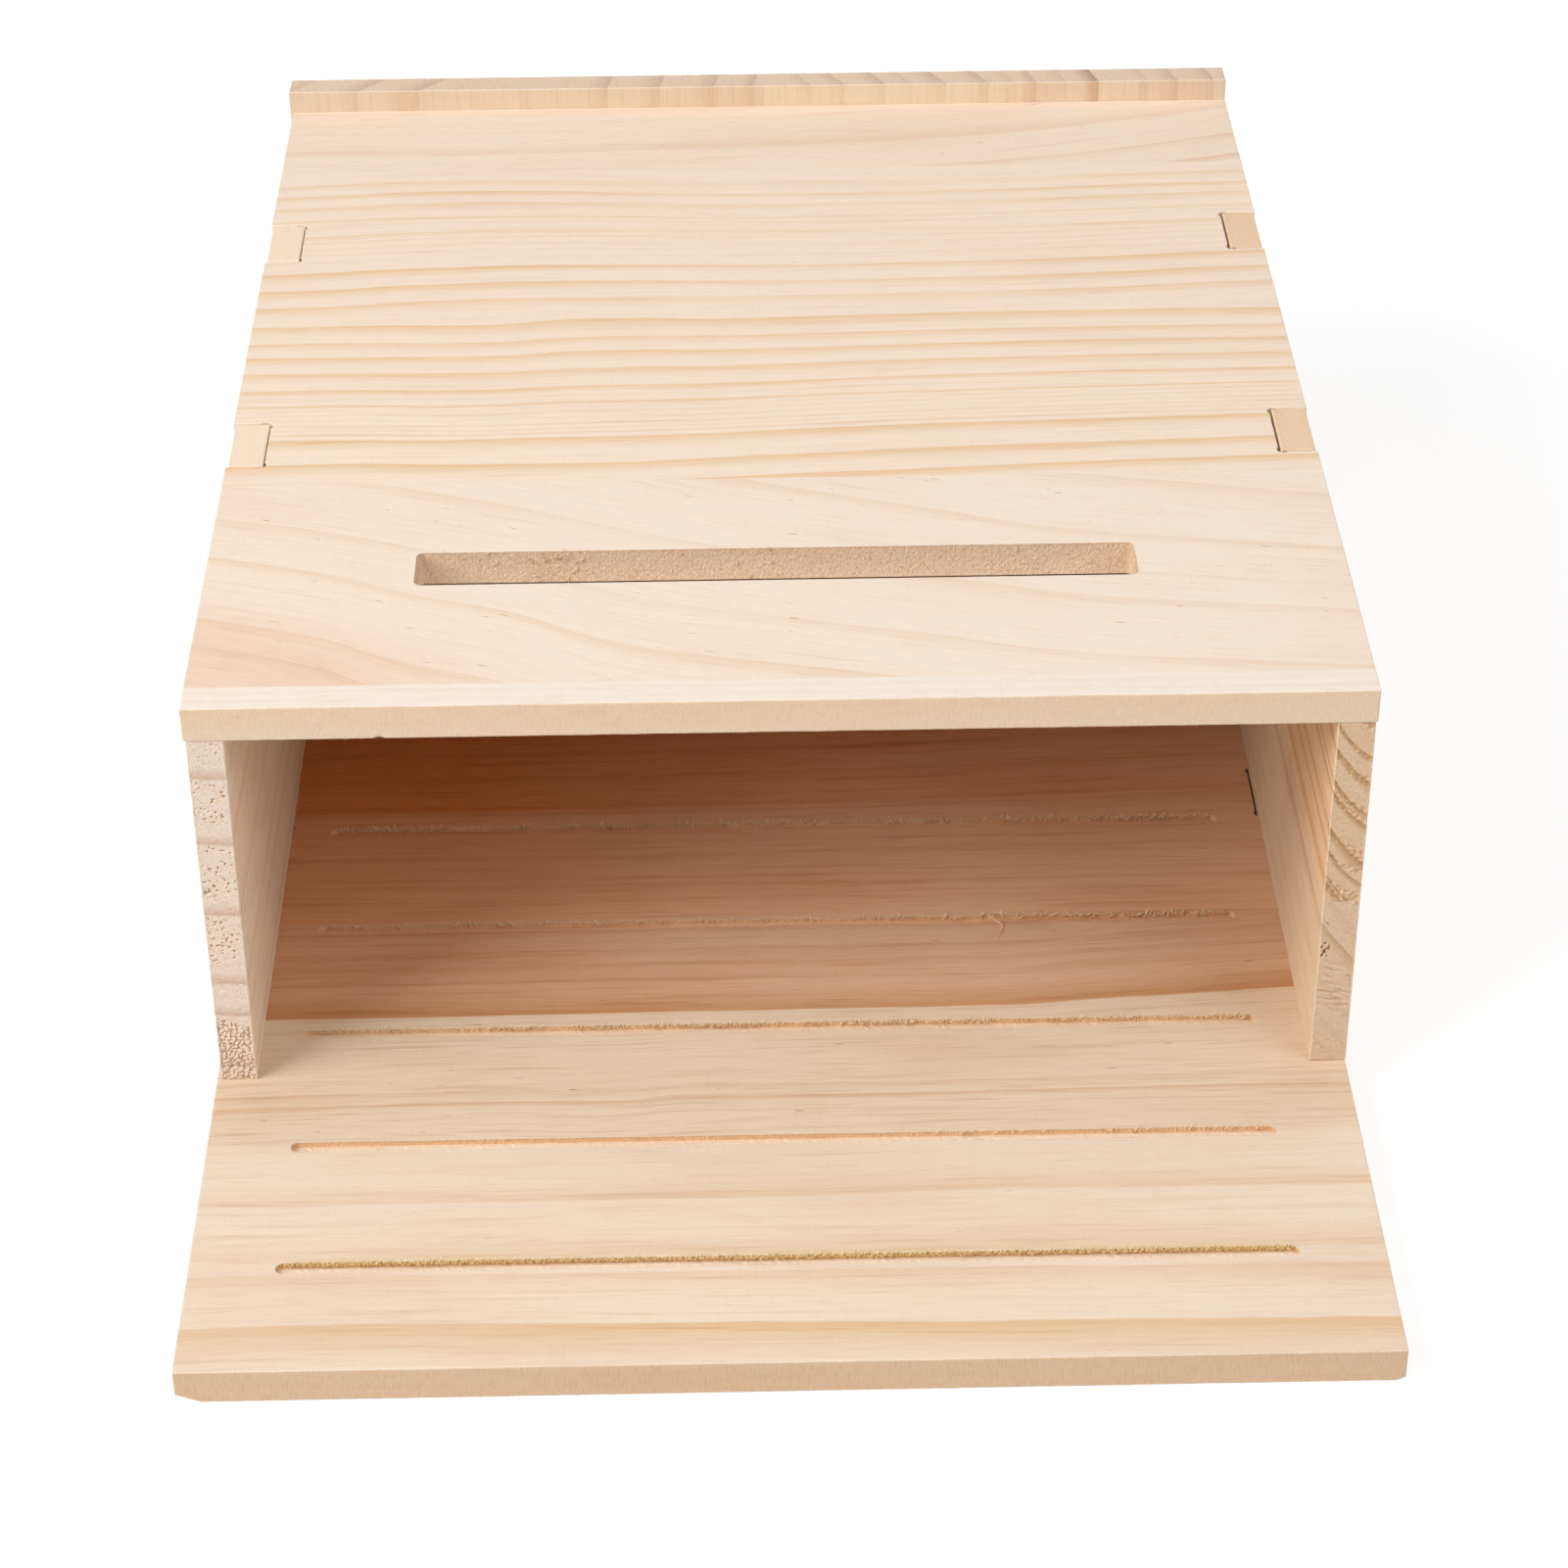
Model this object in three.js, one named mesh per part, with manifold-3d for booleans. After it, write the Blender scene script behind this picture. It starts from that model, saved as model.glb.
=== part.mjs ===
// A flat-pack bat box of pale pine, lying on its back as it is photographed.
//
// Five boards hold each other with tabs in notches. A wide front panel and a longer back panel lie over and
// under two side boards, and a roof board closes the top end. The other end is open, and there the back
// panel runs on as a landing board with grooves for the bats' claws. The wide boards are glued up from
// staves, and each stave is a piece of its own.
//
// Millimetres. +X runs across the box, +Y runs to the roof, and +Z points away from the wall.

import * as THREE from 'three';
import { mergeVertices } from 'three/addons/utils/BufferGeometryUtils.js';
import Module from 'manifold-3d';

const wasm = await Module();
wasm.setup();

// Boards
const panelWidth = 250;
const backLength = 425.4;
const landingLength = 94.6;
const hangingLength = 30;
const chamberDepth = 89.9;
const frontThickness = 8;
const backThickness = 8;
const sideThickness = 8;
const roofThickness = 8;
const roofOverhang = 0.4;
const roofRise = 5.7;

// How the boards sit on each other: the sides stand a little inside the panels' edges and ends, and the
// joints' play lets the sides, the back panel and the roof lie a little off the front panel's middle.
const sideInset = 0.5;
const sideSetback = 0.2;
const sideShift = 0.1;
const backShift = -0.4;
const roofShift = -0.4;

// Tabs of the side boards, as distances of their middles from the front panel's near edge. The roof tab
// stands in the middle of the side board's height. The notches on the right have a little more play.
const tabLength = 19.6;
const roofTabLength = 30;
const frontTabPlaces = { lower: 111.4, upper: 214.5 };
const backTabPlaces = { lower: 106.5, upper: 209.6 };
const fitClearance = 0.3;
const rightPlay = 0.2;

// One round cutter makes the slot's corners, the relief in the notches' corners and the grooves.
const cutterRadius = 1.6;

// The ventilation slot, measured from the front panel's near edge
const slotLength = 158;
const slotWidth = 13.6;
const slotPlace = 54.9;

// The landing grooves, measured from the back panel's near edge
const grooveLength = 213.4;
const grooveDepth = 1.4;
const groovePitch = 39.6;
const firstGroovePlace = 31.3;

// Two screw holes in the strip of the back panel that shows above the roof
const hangHoleRadius = 2.75;
const hangHoleSpacing = 180;

// Where the staves meet, as shares of the board: from the panels' near edges, from the roof's left edge, and
// from the back panel's inner face up the right side board. A line of glue keeps them apart.
const frontJointShares = [0.028, 0.316, 0.591, 0.869];
const backJointShares = [0.0273, 0.169, 0.3587, 0.5491, 0.7475, 0.93];
const roofJointShares = [0.267, 0.506, 0.782];
const sideJointShare = 0.484;
const glueLine = 0.1;

// How far a cutter runs past the surface that it cuts, and how many steps make a quarter turn
const overrun = 5;
const quarterSteps = 4;

const innerFace = backThickness;
const frontUnderside = innerFace + chamberDepth;
const frontFace = frontUnderside + frontThickness;
const roofFront = frontFace + roofRise;
const landingEdge = -landingLength;
const backTop = backLength - landingLength;
const roofTop = backTop - hangingLength;
const frontLength = roofTop - roofThickness;
const roofWidth = panelWidth + 2 * roofOverhang;

// Solids

function toSolid(geometry) {
  const bare = geometry.clone();
  bare.deleteAttribute('normal');
  bare.deleteAttribute('uv');
  const welded = mergeVertices(bare);
  return new wasm.Manifold(new wasm.Mesh({
    numProp: 3,
    vertProperties: new Float32Array(welded.attributes.position.array),
    triVerts: new Uint32Array(welded.index.array),
  }));
}

function toGeometry(solid) {
  const mesh = solid.getMesh();
  const geometry = new THREE.BufferGeometry();
  geometry.setAttribute('position', new THREE.BufferAttribute(mesh.vertProperties, 3));
  geometry.setIndex(new THREE.BufferAttribute(mesh.triVerts, 1));
  geometry.computeVertexNormals();
  return geometry;
}

// A block between two values on each axis
function block(x, y, z) {
  const geometry = new THREE.BoxGeometry(x[1] - x[0], y[1] - y[0], z[1] - z[0]);
  geometry.translate((x[0] + x[1]) / 2, (y[0] + y[1]) / 2, (z[0] + z[1]) / 2);
  return toSolid(geometry);
}

// An outline in the XY plane, raised between two heights
function raise(shape, z) {
  const geometry = new THREE.ExtrudeGeometry(shape, {
    depth: z[1] - z[0],
    bevelEnabled: false,
    curveSegments: quarterSteps,
  });
  geometry.translate(0, 0, z[0]);
  return toSolid(geometry);
}

// A rectangle with round corners, lying along X round a middle point
function roundBar(length, width, cornerRadius, middleX, middleY) {
  const right = middleX + length / 2 - cornerRadius;
  const left = middleX - length / 2 + cornerRadius;
  const far = middleY + width / 2 - cornerRadius;
  const near = middleY - width / 2 + cornerRadius;
  const shape = new THREE.Shape();
  shape.absarc(right, near, cornerRadius, -Math.PI / 2, 0);
  shape.absarc(right, far, cornerRadius, 0, Math.PI / 2);
  shape.absarc(left, far, cornerRadius, Math.PI / 2, Math.PI);
  shape.absarc(left, near, cornerRadius, Math.PI, 3 * Math.PI / 2);
  return shape;
}

function disc(radius, middleX, middleY) {
  const shape = new THREE.Shape();
  for (let quarter = 0; quarter < 4; quarter += 1) {
    shape.absarc(middleX, middleY, radius, quarter * Math.PI / 2, (quarter + 1) * Math.PI / 2);
  }
  return shape;
}

// Notches

// A notch in a board's left (-1) or right (1) edge reaches past its tab by the clearance, also where the
// board lies off the sides' middle.
function notchDepth(boardShift, hand) {
  const clearance = hand > 0 ? fitClearance + rightPlay : fitClearance;
  return sideInset + sideThickness + clearance + hand * (boardShift - sideShift);
}

// The cutter for one notch in a board's left (-1) or right (1) edge: a block for the tab, and a disc in each
// inner corner, because a round cutter leaves no square corner for the tab.
function notchCutter(hand, edge, depth, along, z) {
  const floor = edge - hand * depth;
  const outside = edge + hand * overrun;
  const reach = (along.length / 2) + fitClearance;
  const relief = cutterRadius * Math.SQRT1_2;
  const span = [Math.min(floor, outside), Math.max(floor, outside)];
  let cutter = block(span, [along.middle - reach, along.middle + reach], z);
  for (const end of [-1, 1]) {
    const corner = disc(cutterRadius, floor + hand * relief, along.middle + end * (reach - relief));
    cutter = cutter.add(raise(corner, z));
  }
  return cutter;
}

function cutNotches(board, width, shift, tabs, z) {
  let solid = board;
  for (const hand of [-1, 1]) {
    const edge = shift + hand * width / 2;
    for (const middle of tabs) {
      const depth = notchDepth(shift, hand);
      solid = solid.subtract(notchCutter(hand, edge, depth, { middle, length: tabLength }, z));
    }
  }
  return solid;
}

// Boards, each as one solid before it is parted into its staves

function makeFrontPanel() {
  const thickness = [frontUnderside, frontFace];
  const through = [frontUnderside - overrun, frontFace + overrun];
  const blank = block([-panelWidth / 2, panelWidth / 2], [0, frontLength], thickness);
  const notched = cutNotches(blank, panelWidth, 0, Object.values(frontTabPlaces), through);
  return notched.subtract(raise(roundBar(slotLength, slotWidth, cutterRadius, 0, slotPlace), through));
}

function groovePlaces() {
  const places = [];
  for (let y = landingEdge + firstGroovePlace; y < frontLength - groovePitch / 2; y += groovePitch) {
    places.push(y);
  }
  return places;
}

function makeBackPanel() {
  const through = [-overrun, backThickness + overrun];
  const span = [backShift - panelWidth / 2, backShift + panelWidth / 2];
  const blank = block(span, [landingEdge, backTop], [0, backThickness]);
  let board = cutNotches(blank, panelWidth, backShift, Object.values(backTabPlaces), through);
  for (const y of groovePlaces()) {
    const groove = roundBar(grooveLength, 2 * cutterRadius, cutterRadius, backShift, y);
    board = board.subtract(raise(groove, [backThickness - grooveDepth, backThickness + overrun]));
  }
  for (const hand of [-1, 1]) {
    const hole = disc(hangHoleRadius, backShift + hand * hangHoleSpacing / 2, (roofTop + backTop) / 2);
    board = board.subtract(raise(hole, through));
  }
  return board;
}

// The roof stands across the top end, so its notches are cut in a flat board that is then stood up.
function makeRoof() {
  const height = roofFront - innerFace;
  const span = [roofShift - roofWidth / 2, roofShift + roofWidth / 2];
  const blank = block(span, [0, height], [0, roofThickness]);
  const tab = { middle: chamberDepth / 2, length: roofTabLength };
  const through = [-overrun, roofThickness + overrun];
  let board = blank;
  for (const hand of [-1, 1]) {
    const edge = roofShift + hand * roofWidth / 2;
    const depth = notchDepth(roofShift, hand) + roofOverhang;
    board = board.subtract(notchCutter(hand, edge, depth, tab, through));
  }
  const flat = toGeometry(board);
  flat.rotateX(Math.PI / 2);
  flat.translate(0, roofTop, innerFace);
  return toSolid(flat);
}

// A side board is an outline of Y and Z, given its thickness along X. Its tabs reach through the back panel,
// the roof and the front panel.
function makeSide(hand) {
  const near = sideSetback;
  const tabHalf = tabLength / 2;
  const roofTabMiddle = innerFace + chamberDepth / 2;
  const roofTabHalf = roofTabLength / 2;
  const outline = [[near, innerFace]];
  for (const place of [backTabPlaces.lower, backTabPlaces.upper]) {
    outline.push([place - tabHalf, innerFace], [place - tabHalf, 0]);
    outline.push([place + tabHalf, 0], [place + tabHalf, innerFace]);
  }
  outline.push([frontLength, innerFace], [frontLength, roofTabMiddle - roofTabHalf]);
  outline.push([roofTop, roofTabMiddle - roofTabHalf], [roofTop, roofTabMiddle + roofTabHalf]);
  outline.push([frontLength, roofTabMiddle + roofTabHalf], [frontLength, frontUnderside]);
  for (const place of [frontTabPlaces.upper, frontTabPlaces.lower]) {
    outline.push([place + tabHalf, frontUnderside], [place + tabHalf, frontFace]);
    outline.push([place - tabHalf, frontFace], [place - tabHalf, frontUnderside]);
  }
  outline.push([near, frontUnderside]);
  const shape = new THREE.Shape(outline.map(([y, z]) => new THREE.Vector2(y, z)));
  const geometry = new THREE.ExtrudeGeometry(shape, { depth: sideThickness, bevelEnabled: false });
  const alongX = new THREE.Vector3(1, 0, 0);
  const alongY = new THREE.Vector3(0, 1, 0);
  const alongZ = new THREE.Vector3(0, 0, 1);
  geometry.applyMatrix4(new THREE.Matrix4().makeBasis(alongY, alongZ, alongX));
  const outerFace = sideShift + hand * (panelWidth / 2 - sideInset);
  geometry.translate(Math.min(outerFace, outerFace - hand * sideThickness), 0, 0);
  return toSolid(geometry);
}

// Staves

// Parts a board along one axis where its joints lie, and gives the pieces in order.
function partAt(board, axis, start, length, jointShares) {
  const reach = 2 * (panelWidth + backLength);
  const cuts = [-reach, ...jointShares.map((share) => start + share * length), reach];
  return cuts.slice(1).map((high, index) => {
    const spans = { x: [-reach, reach], y: [-reach, reach], z: [-reach, reach] };
    spans[axis] = [cuts[index] + glueLine / 2, high - glueLine / 2];
    return board.intersect(block(spans.x, spans.y, spans.z));
  });
}

// Colours of the wood, one for each board
const pine = {
  front: { color: 0xf3d9bd, roughness: 0.62 },
  back: { color: 0xe9c9a3, roughness: 0.66 },
  roof: { color: 0xe8cda9, roughness: 0.64 },
  leftSide: { color: 0xdcc2a0, roughness: 0.72 },
  rightSide: { color: 0xd3ac84, roughness: 0.7 },
};

const batBox = new THREE.Group();

function addPieces(names, solids, look) {
  names.forEach((name, index) => {
    const material = new THREE.MeshStandardMaterial({ ...look, metalness: 0 });
    const mesh = new THREE.Mesh(toGeometry(solids[index]), material);
    mesh.name = name;
    batBox.add(mesh);
  });
}

const frontNames = [
  'front_edge_strip',
  'front_slot_stave',
  'front_middle_stave',
  'front_upper_stave',
  'front_roof_stave',
];
addPieces(frontNames, partAt(makeFrontPanel(), 'y', 0, frontLength, frontJointShares), pine.front);

const backNames = [
  'back_edge_strip',
  'back_landing_stave',
  'back_entrance_stave',
  'back_middle_stave',
  'back_upper_stave',
  'back_roof_stave',
  'back_hanging_strip',
];
addPieces(backNames, partAt(makeBackPanel(), 'y', landingEdge, backLength, backJointShares), pine.back);

const roofNames = ['roof_left_stave', 'roof_inner_left_stave', 'roof_inner_right_stave', 'roof_right_stave'];
const roofLeft = roofShift - roofWidth / 2;
addPieces(roofNames, partAt(makeRoof(), 'x', roofLeft, roofWidth, roofJointShares), pine.roof);

addPieces(['left_side'], [makeSide(-1)], pine.leftSide);
const rightNames = ['right_side_wall_stave', 'right_side_front_stave'];
addPieces(rightNames, partAt(makeSide(1), 'z', innerFace, chamberDepth, [sideJointShare]), pine.rightSide);

// The origin is the middle of the part's rear face.
const reach = new THREE.Box3().setFromObject(batBox);
const middle = reach.getCenter(new THREE.Vector3());
batBox.position.set(-middle.x, -middle.y, -reach.min.z);
batBox.updateMatrixWorld(true);

export default batBox;
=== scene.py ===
# %% [markdown]
# # A flat-pack bat box of pale pine
#
# The real object is a shallow wooden box for roosting bats. Five planed pine boards hold each other
# with tabs in notches: a wide front panel, a longer back panel that runs on as a landing board, two
# sides and a roof. The lower end is open. It lies on its back here, with that end towards the camera.
#
# Everything hangs on the packed CAD model. It gives the place and the size of each board, and this
# script makes a finer copy of every stave, with broken edges, torn cuts, end grain and a pine of its
# own.

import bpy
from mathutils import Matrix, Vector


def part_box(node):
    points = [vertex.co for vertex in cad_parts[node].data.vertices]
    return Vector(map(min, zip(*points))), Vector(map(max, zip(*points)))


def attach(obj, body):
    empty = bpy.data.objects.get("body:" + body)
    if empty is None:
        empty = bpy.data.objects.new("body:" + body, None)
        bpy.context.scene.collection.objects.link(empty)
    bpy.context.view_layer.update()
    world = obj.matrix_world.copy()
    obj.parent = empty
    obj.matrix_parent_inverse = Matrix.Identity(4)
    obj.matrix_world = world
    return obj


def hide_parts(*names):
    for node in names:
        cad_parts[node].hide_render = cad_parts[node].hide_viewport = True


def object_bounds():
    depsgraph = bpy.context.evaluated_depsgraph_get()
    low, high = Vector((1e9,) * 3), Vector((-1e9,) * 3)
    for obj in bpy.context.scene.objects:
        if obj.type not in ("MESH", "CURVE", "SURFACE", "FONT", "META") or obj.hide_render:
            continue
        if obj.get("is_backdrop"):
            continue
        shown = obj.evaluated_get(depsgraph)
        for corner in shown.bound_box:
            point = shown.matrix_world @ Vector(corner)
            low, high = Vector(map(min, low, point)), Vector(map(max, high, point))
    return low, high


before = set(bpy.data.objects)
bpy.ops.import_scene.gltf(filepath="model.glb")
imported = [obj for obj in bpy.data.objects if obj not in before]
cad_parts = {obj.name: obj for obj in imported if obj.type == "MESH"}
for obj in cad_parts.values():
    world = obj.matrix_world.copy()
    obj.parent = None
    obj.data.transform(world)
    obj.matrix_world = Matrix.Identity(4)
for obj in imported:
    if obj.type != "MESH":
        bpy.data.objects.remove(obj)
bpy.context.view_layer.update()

# %% Blender's own tools
import math
from types import SimpleNamespace

import bmesh
import bpy
from mathutils import Matrix, Vector, geometry, noise

print("Blender", bpy.app.version_string)

# %% [markdown]
# ## The boards and their staves
#
# A wide pine board is glued up from staves, because a log gives no plank that wide that would stay
# flat. The CAD model has a solid for each stave. Its names and boxes tell where every board lies and
# where its staves meet, so none of that is typed again.

# %% Names of the staves, in order from the near or left edge
front_staves = [
    "front_edge_strip", "front_slot_stave", "front_middle_stave", "front_upper_stave", "front_roof_stave",
]
back_staves = [
    "back_edge_strip", "back_landing_stave", "back_entrance_stave", "back_middle_stave",
    "back_upper_stave", "back_roof_stave", "back_hanging_strip",
]
roof_staves = ["roof_left_stave", "roof_inner_left_stave", "roof_inner_right_stave", "roof_right_stave"]
right_staves = ["right_side_wall_stave", "right_side_front_stave"]
left_staves = ["left_side"]


def reach(names):
    """The lowest and the highest corner of several CAD nodes together."""
    lows, highs = zip(*[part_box(name) for name in names])
    return Vector(min(values) for values in zip(*lows)), Vector(max(values) for values in zip(*highs))


def joints(names, axis):
    """Where neighbouring staves meet, halfway across the glue between their boxes."""
    return [(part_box(lower)[1][axis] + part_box(upper)[0][axis]) / 2 for lower, upper in zip(names, names[1:])]


front_low, front_high = reach(front_staves)
back_low, back_high = reach(back_staves)
roof_low, roof_high = reach(roof_staves)
left_low, left_high = reach(left_staves)
right_low, right_high = reach(right_staves)
print("Front panel:", [round(side, 4) for side in front_high - front_low])
print("Its glue joints:", [round(place, 4) for place in joints(front_staves, 1)])

# %% [markdown]
# ## Cuts that all boards share
#
# One small round cutter made every cut: the notches with their relieved corners, the slot and the
# grooves. The sizes below are the joint's own. Where a board ends comes from the CAD boxes above.

# %% Sizes of the cuts, in metres
cutter_radius = 0.0016
fit_clearance = 0.0003
tab_length = 0.0196
roof_tab_length = 0.03
front_tab_places = [0.1114, 0.2145]
back_tab_places = [0.1065, 0.2096]
notch_reach = tab_length / 2 + fit_clearance
roof_notch_reach = roof_tab_length / 2 + fit_clearance

slot_length = 0.158
slot_width = 0.0136
slot_place = 0.0549

groove_length = 0.2134
groove_depth = 0.0014
groove_pitch = 0.0396
first_groove = 0.0313

hang_hole_radius = 0.00275
hang_hole_spacing = 0.18
hanging_length = 0.03
print("A notch reaches", round(notch_reach, 4), "m from its middle, and the cutter", cutter_radius, "m")

# %% [markdown]
# ## Outlines
#
# A board is drawn as the shop draws it: a flat outline with holes, given a thickness. The outline runs
# anticlockwise and its holes clockwise, so the wood is always on the left of a walker on it. Its
# corners are eased by a small radius, because no hand-held wood keeps a razor corner.

# %% Arcs, notches and round bars
quarter_turn, half_turn, full_turn = 90, 180, 360
corner_ease = 0.0005
least_corner = 60
ease_steps = 3
arc_steps = 10
hole_steps = 40


def arc(middle, radius, start, turn, steps):
    """Points on an arc round a middle, from a start angle through a turn, both in degrees."""
    angles = [math.radians(start + turn * step / steps) for step in range(steps + 1)]
    return [Vector((middle[0] + radius * math.cos(a), middle[1] + radius * math.sin(a))) for a in angles]


def notch(edge, floor, middle, half):
    """A notch in a right-hand edge, walked upwards. A round cutter leaves an ear in each inner corner."""
    relief = cutter_radius * math.cos(math.radians(quarter_turn / 2))
    below = (floor + relief, middle - half + relief)
    above = (floor + relief, middle + half - relief)
    points = [Vector((edge, middle - half))]
    points += arc(below, cutter_radius, -quarter_turn / 2, -half_turn, arc_steps)
    points += arc(above, cutter_radius, half_turn + quarter_turn / 2, -half_turn, arc_steps)
    points.append(Vector((edge, middle + half)))
    return points


def mirrored(points):
    """The same points on the left-hand side, walked the other way."""
    return [Vector((-point.x, point.y)) for point in reversed(points)]


def eased(points, radius):
    """Rounds the outward corners of an outline that turn by more than the least corner."""
    result = []
    for before, here, after in zip(points[-1:] + points[:-1], points, points[1:] + points[:1]):
        arriving = (here - before).normalized()
        leaving = (after - here).normalized()
        turn = arriving.cross(leaving)
        if turn < math.sin(math.radians(least_corner)):
            result.append(here)
            continue
        middle = here - arriving * radius + leaving * radius
        start = math.degrees(math.atan2(-leaving.y, -leaving.x))
        result += arc(middle, radius, start, quarter_turn, ease_steps)
    return result


print("A notch has", len(notch(0, 0, 0, notch_reach)), "points before it is walked")


# %% Panels, round bars and holes
def panel_outline(low, high, notches):
    """A rectangle with notches in both long edges: the depths of each, its middle and its half length."""
    right = [Vector((high[0], low[1]))]
    left = [Vector((-low[0], low[1]))]
    for depth_left, depth_right, middle, half in notches:
        right += notch(high[0], high[0] - depth_right, middle, half)
        left += notch(-low[0], -low[0] - depth_left, middle, half)
    right.append(Vector((high[0], high[1])))
    left.append(Vector((-low[0], high[1])))
    return eased(right + mirrored(left), corner_ease)


def round_bar(middle, length, width):
    """A slot's outline, walked clockwise because it is a hole."""
    across = length / 2 - cutter_radius
    up = width / 2 - cutter_radius
    corners = [(-1, 1, half_turn), (1, 1, quarter_turn), (1, -1, 0), (-1, -1, -quarter_turn)]
    points = []
    for side, level, start in corners:
        centre = (middle[0] + side * across, middle[1] + level * up)
        points += arc(centre, cutter_radius, start, -quarter_turn, arc_steps)
    return points


def hole(middle, radius):
    """A round hole, walked clockwise."""
    return arc(middle, radius, 0, -full_turn, hole_steps)[:-1]


print("A screw hole has", len(hole((0, 0), hang_hole_radius)), "points")

# %% [markdown]
# ## From outline to board
#
# Straight stretches are cut into short steps, so that an edge can wander a little as a worn one does.
# Rings of points then climb the wall from the lower face to the upper one: a narrow broken edge, a few
# rows up the wall, and the second broken edge. Rows cost little and let end grain and torn cuts be real
# relief.
#
# The two faces are filled by a triangulation that respects holes. Three numbers are kept for the
# materials: at each point how deep it lies below the true surface, and on each face whether it belongs
# to a broken edge and whether the cutter made it.

# %% Walking an outline in short steps
sharpest_mitre = 0.3


def walk(points, step_at):
    """Cuts each straight stretch into steps whose length step_at gives for that stretch."""
    result = []
    for here, after in zip(points, points[1:] + points[:1]):
        count = max(1, round((after - here).length / step_at(here, after)))
        result += [here.lerp(after, share / count) for share in range(count)]
    return result


def inward(points):
    """At each point the direction into the wood, mitred at corners so that an inset keeps its width."""
    result = []
    for before, here, after in zip(points[-1:] + points[:-1], points, points[1:] + points[:1]):
        arriving = (here - before).normalized()
        leaving = (after - here).normalized()
        first = Vector((-arriving.y, arriving.x))
        second = Vector((-leaving.y, leaving.x))
        middle = (first + second) / 2
        result.append(middle / max(middle.length_squared, sharpest_mitre))
    return result


print("Into the wood round a hole:", len(inward(hole((0, 0), cutter_radius))), "directions")


# %% A broken edge that wanders
arris = 0.00028
arris_wander = 0.45
arris_wander_length = 0.0022
arris_shares = [(1, 0), (0.3, 0.3), (0, 1)]
worn, crisp = 1.0, 0.3


def wander(place, length):
    """Smooth noise between -1 and 1 that repeats its bumps at about that length."""
    return noise.noise(place / length)


def arris_at(place):
    """How wide the broken edge is at a place."""
    return arris * (1 + arris_wander * wander(place, arris_wander_length))


def climb(low_arris, high_arris, top, rows, foot):
    """The rings of points up a wall: each one's inset, its height, and whether it is on a broken edge."""
    lower = [(inset * low_arris, rise * low_arris, 1) for inset, rise in arris_shares]
    upper = [(inset * high_arris, top - rise * high_arris, 1) for inset, rise in reversed(arris_shares)]
    inner = top - low_arris - high_arris
    between = [(0, low_arris + inner * row / rows, 0) for row in range(1, rows)]
    return (lower if foot else [(0, 0, 0)]) + between + upper


print("A broken edge is about", arris * 1000, "mm wide")


# %% The board maker
fill_inside = 1
weld = 1e-7


class Board:
    """A flat outline with holes, given a thickness along a third direction."""

    def __init__(self, along, across, through):
        self.mesh = bmesh.new()
        self.hollow = self.mesh.verts.layers.float.new("hollow")
        self.arris = self.mesh.faces.layers.float.new("arris")
        self.cut = self.mesh.faces.layers.float.new("cut")
        self.basis = Matrix((along, across, through)).transposed()

    def point(self, place, hollow=0):
        vertex = self.mesh.verts.new(self.basis @ place)
        vertex[self.hollow] = hollow
        return vertex

    def face(self, corners, cut=0, on_arris=0):
        face = self.mesh.faces.new(corners)
        face[self.cut] = cut
        face[self.arris] = on_arris

    def wall(self, points, levels, rows, relief=None, cut=0, chip=None, foot=True, edges=worn):
        """Rings of points from the lower face to the upper one, joined by quads. Returns the first and the
        last. Both edges are broken, or only the upper one where foot is false."""
        columns = []
        for spot, direction in zip(points, inward(points)):
            low = Vector((spot.x, spot.y, levels[0]))
            high = Vector((spot.x, spot.y, levels[1]))
            low_arris = edges * arris_at(low) + (chip(low) if chip else 0) if foot else 0
            high_arris = edges * arris_at(high) + (chip(high) if chip else 0)
            steps = climb(low_arris, high_arris, levels[1] - levels[0], rows, foot)
            column = []
            for inset, rise, on_arris in steps:
                place = low + Vector((0, 0, rise))
                depth = relief(place) if relief and not on_arris else 0
                place += (direction * (inset + depth)).to_3d()
                column.append(self.point(place, depth))
            columns.append(column)
        flags = [on_arris for inset, rise, on_arris in steps]
        for first, second in zip(columns, columns[1:] + columns[:1]):
            for row in range(len(first) - 1):
                corners = (first[row], second[row], second[row + 1], first[row + 1])
                self.face(corners, cut, flags[row] * flags[row + 1])
        return [column[0] for column in columns], [column[-1] for column in columns]

    def cap(self, loops, upwards, extra=(), cut=0):
        """Fills a face between its loops, the outline and then the holes, and through extra points."""
        turned = self.basis.transposed()
        vertices = [vertex for loop in loops for vertex in loop] + list(extra)
        owners = [number for number, loop in enumerate(loops) for vertex in loop] + [0] * len(extra)
        spots = [(turned @ vertex.co).to_2d() for vertex in vertices]
        edges = []
        start = 0
        for loop in loops:
            edges += [(start + step, start + (step + 1) % len(loop)) for step in range(len(loop))]
            start += len(loop)
        found = geometry.delaunay_2d_cdt(spots, edges, [], fill_inside, weld)
        originals = [ids[0] for ids in found[3]]
        for triangle in found[2]:
            corners = [originals[index] for index in triangle]
            if self.in_hole(corners, owners, spots):
                continue
            if not upwards:
                corners.reverse()
            self.face([vertices[index] for index in corners], cut)

    def in_hole(self, corners, owners, spots):
        """A triangle on one hole's points lies in the hole when it turns clockwise, as the hole does."""
        first, second, third = sorted(corners)
        if owners[first] == 0 or owners[first] != owners[third]:
            return False
        return (spots[second] - spots[first]).cross(spots[third] - spots[first]) < 0


print("The broken edges of a wall take", 2 * len(arris_shares), "rings of points")


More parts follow.
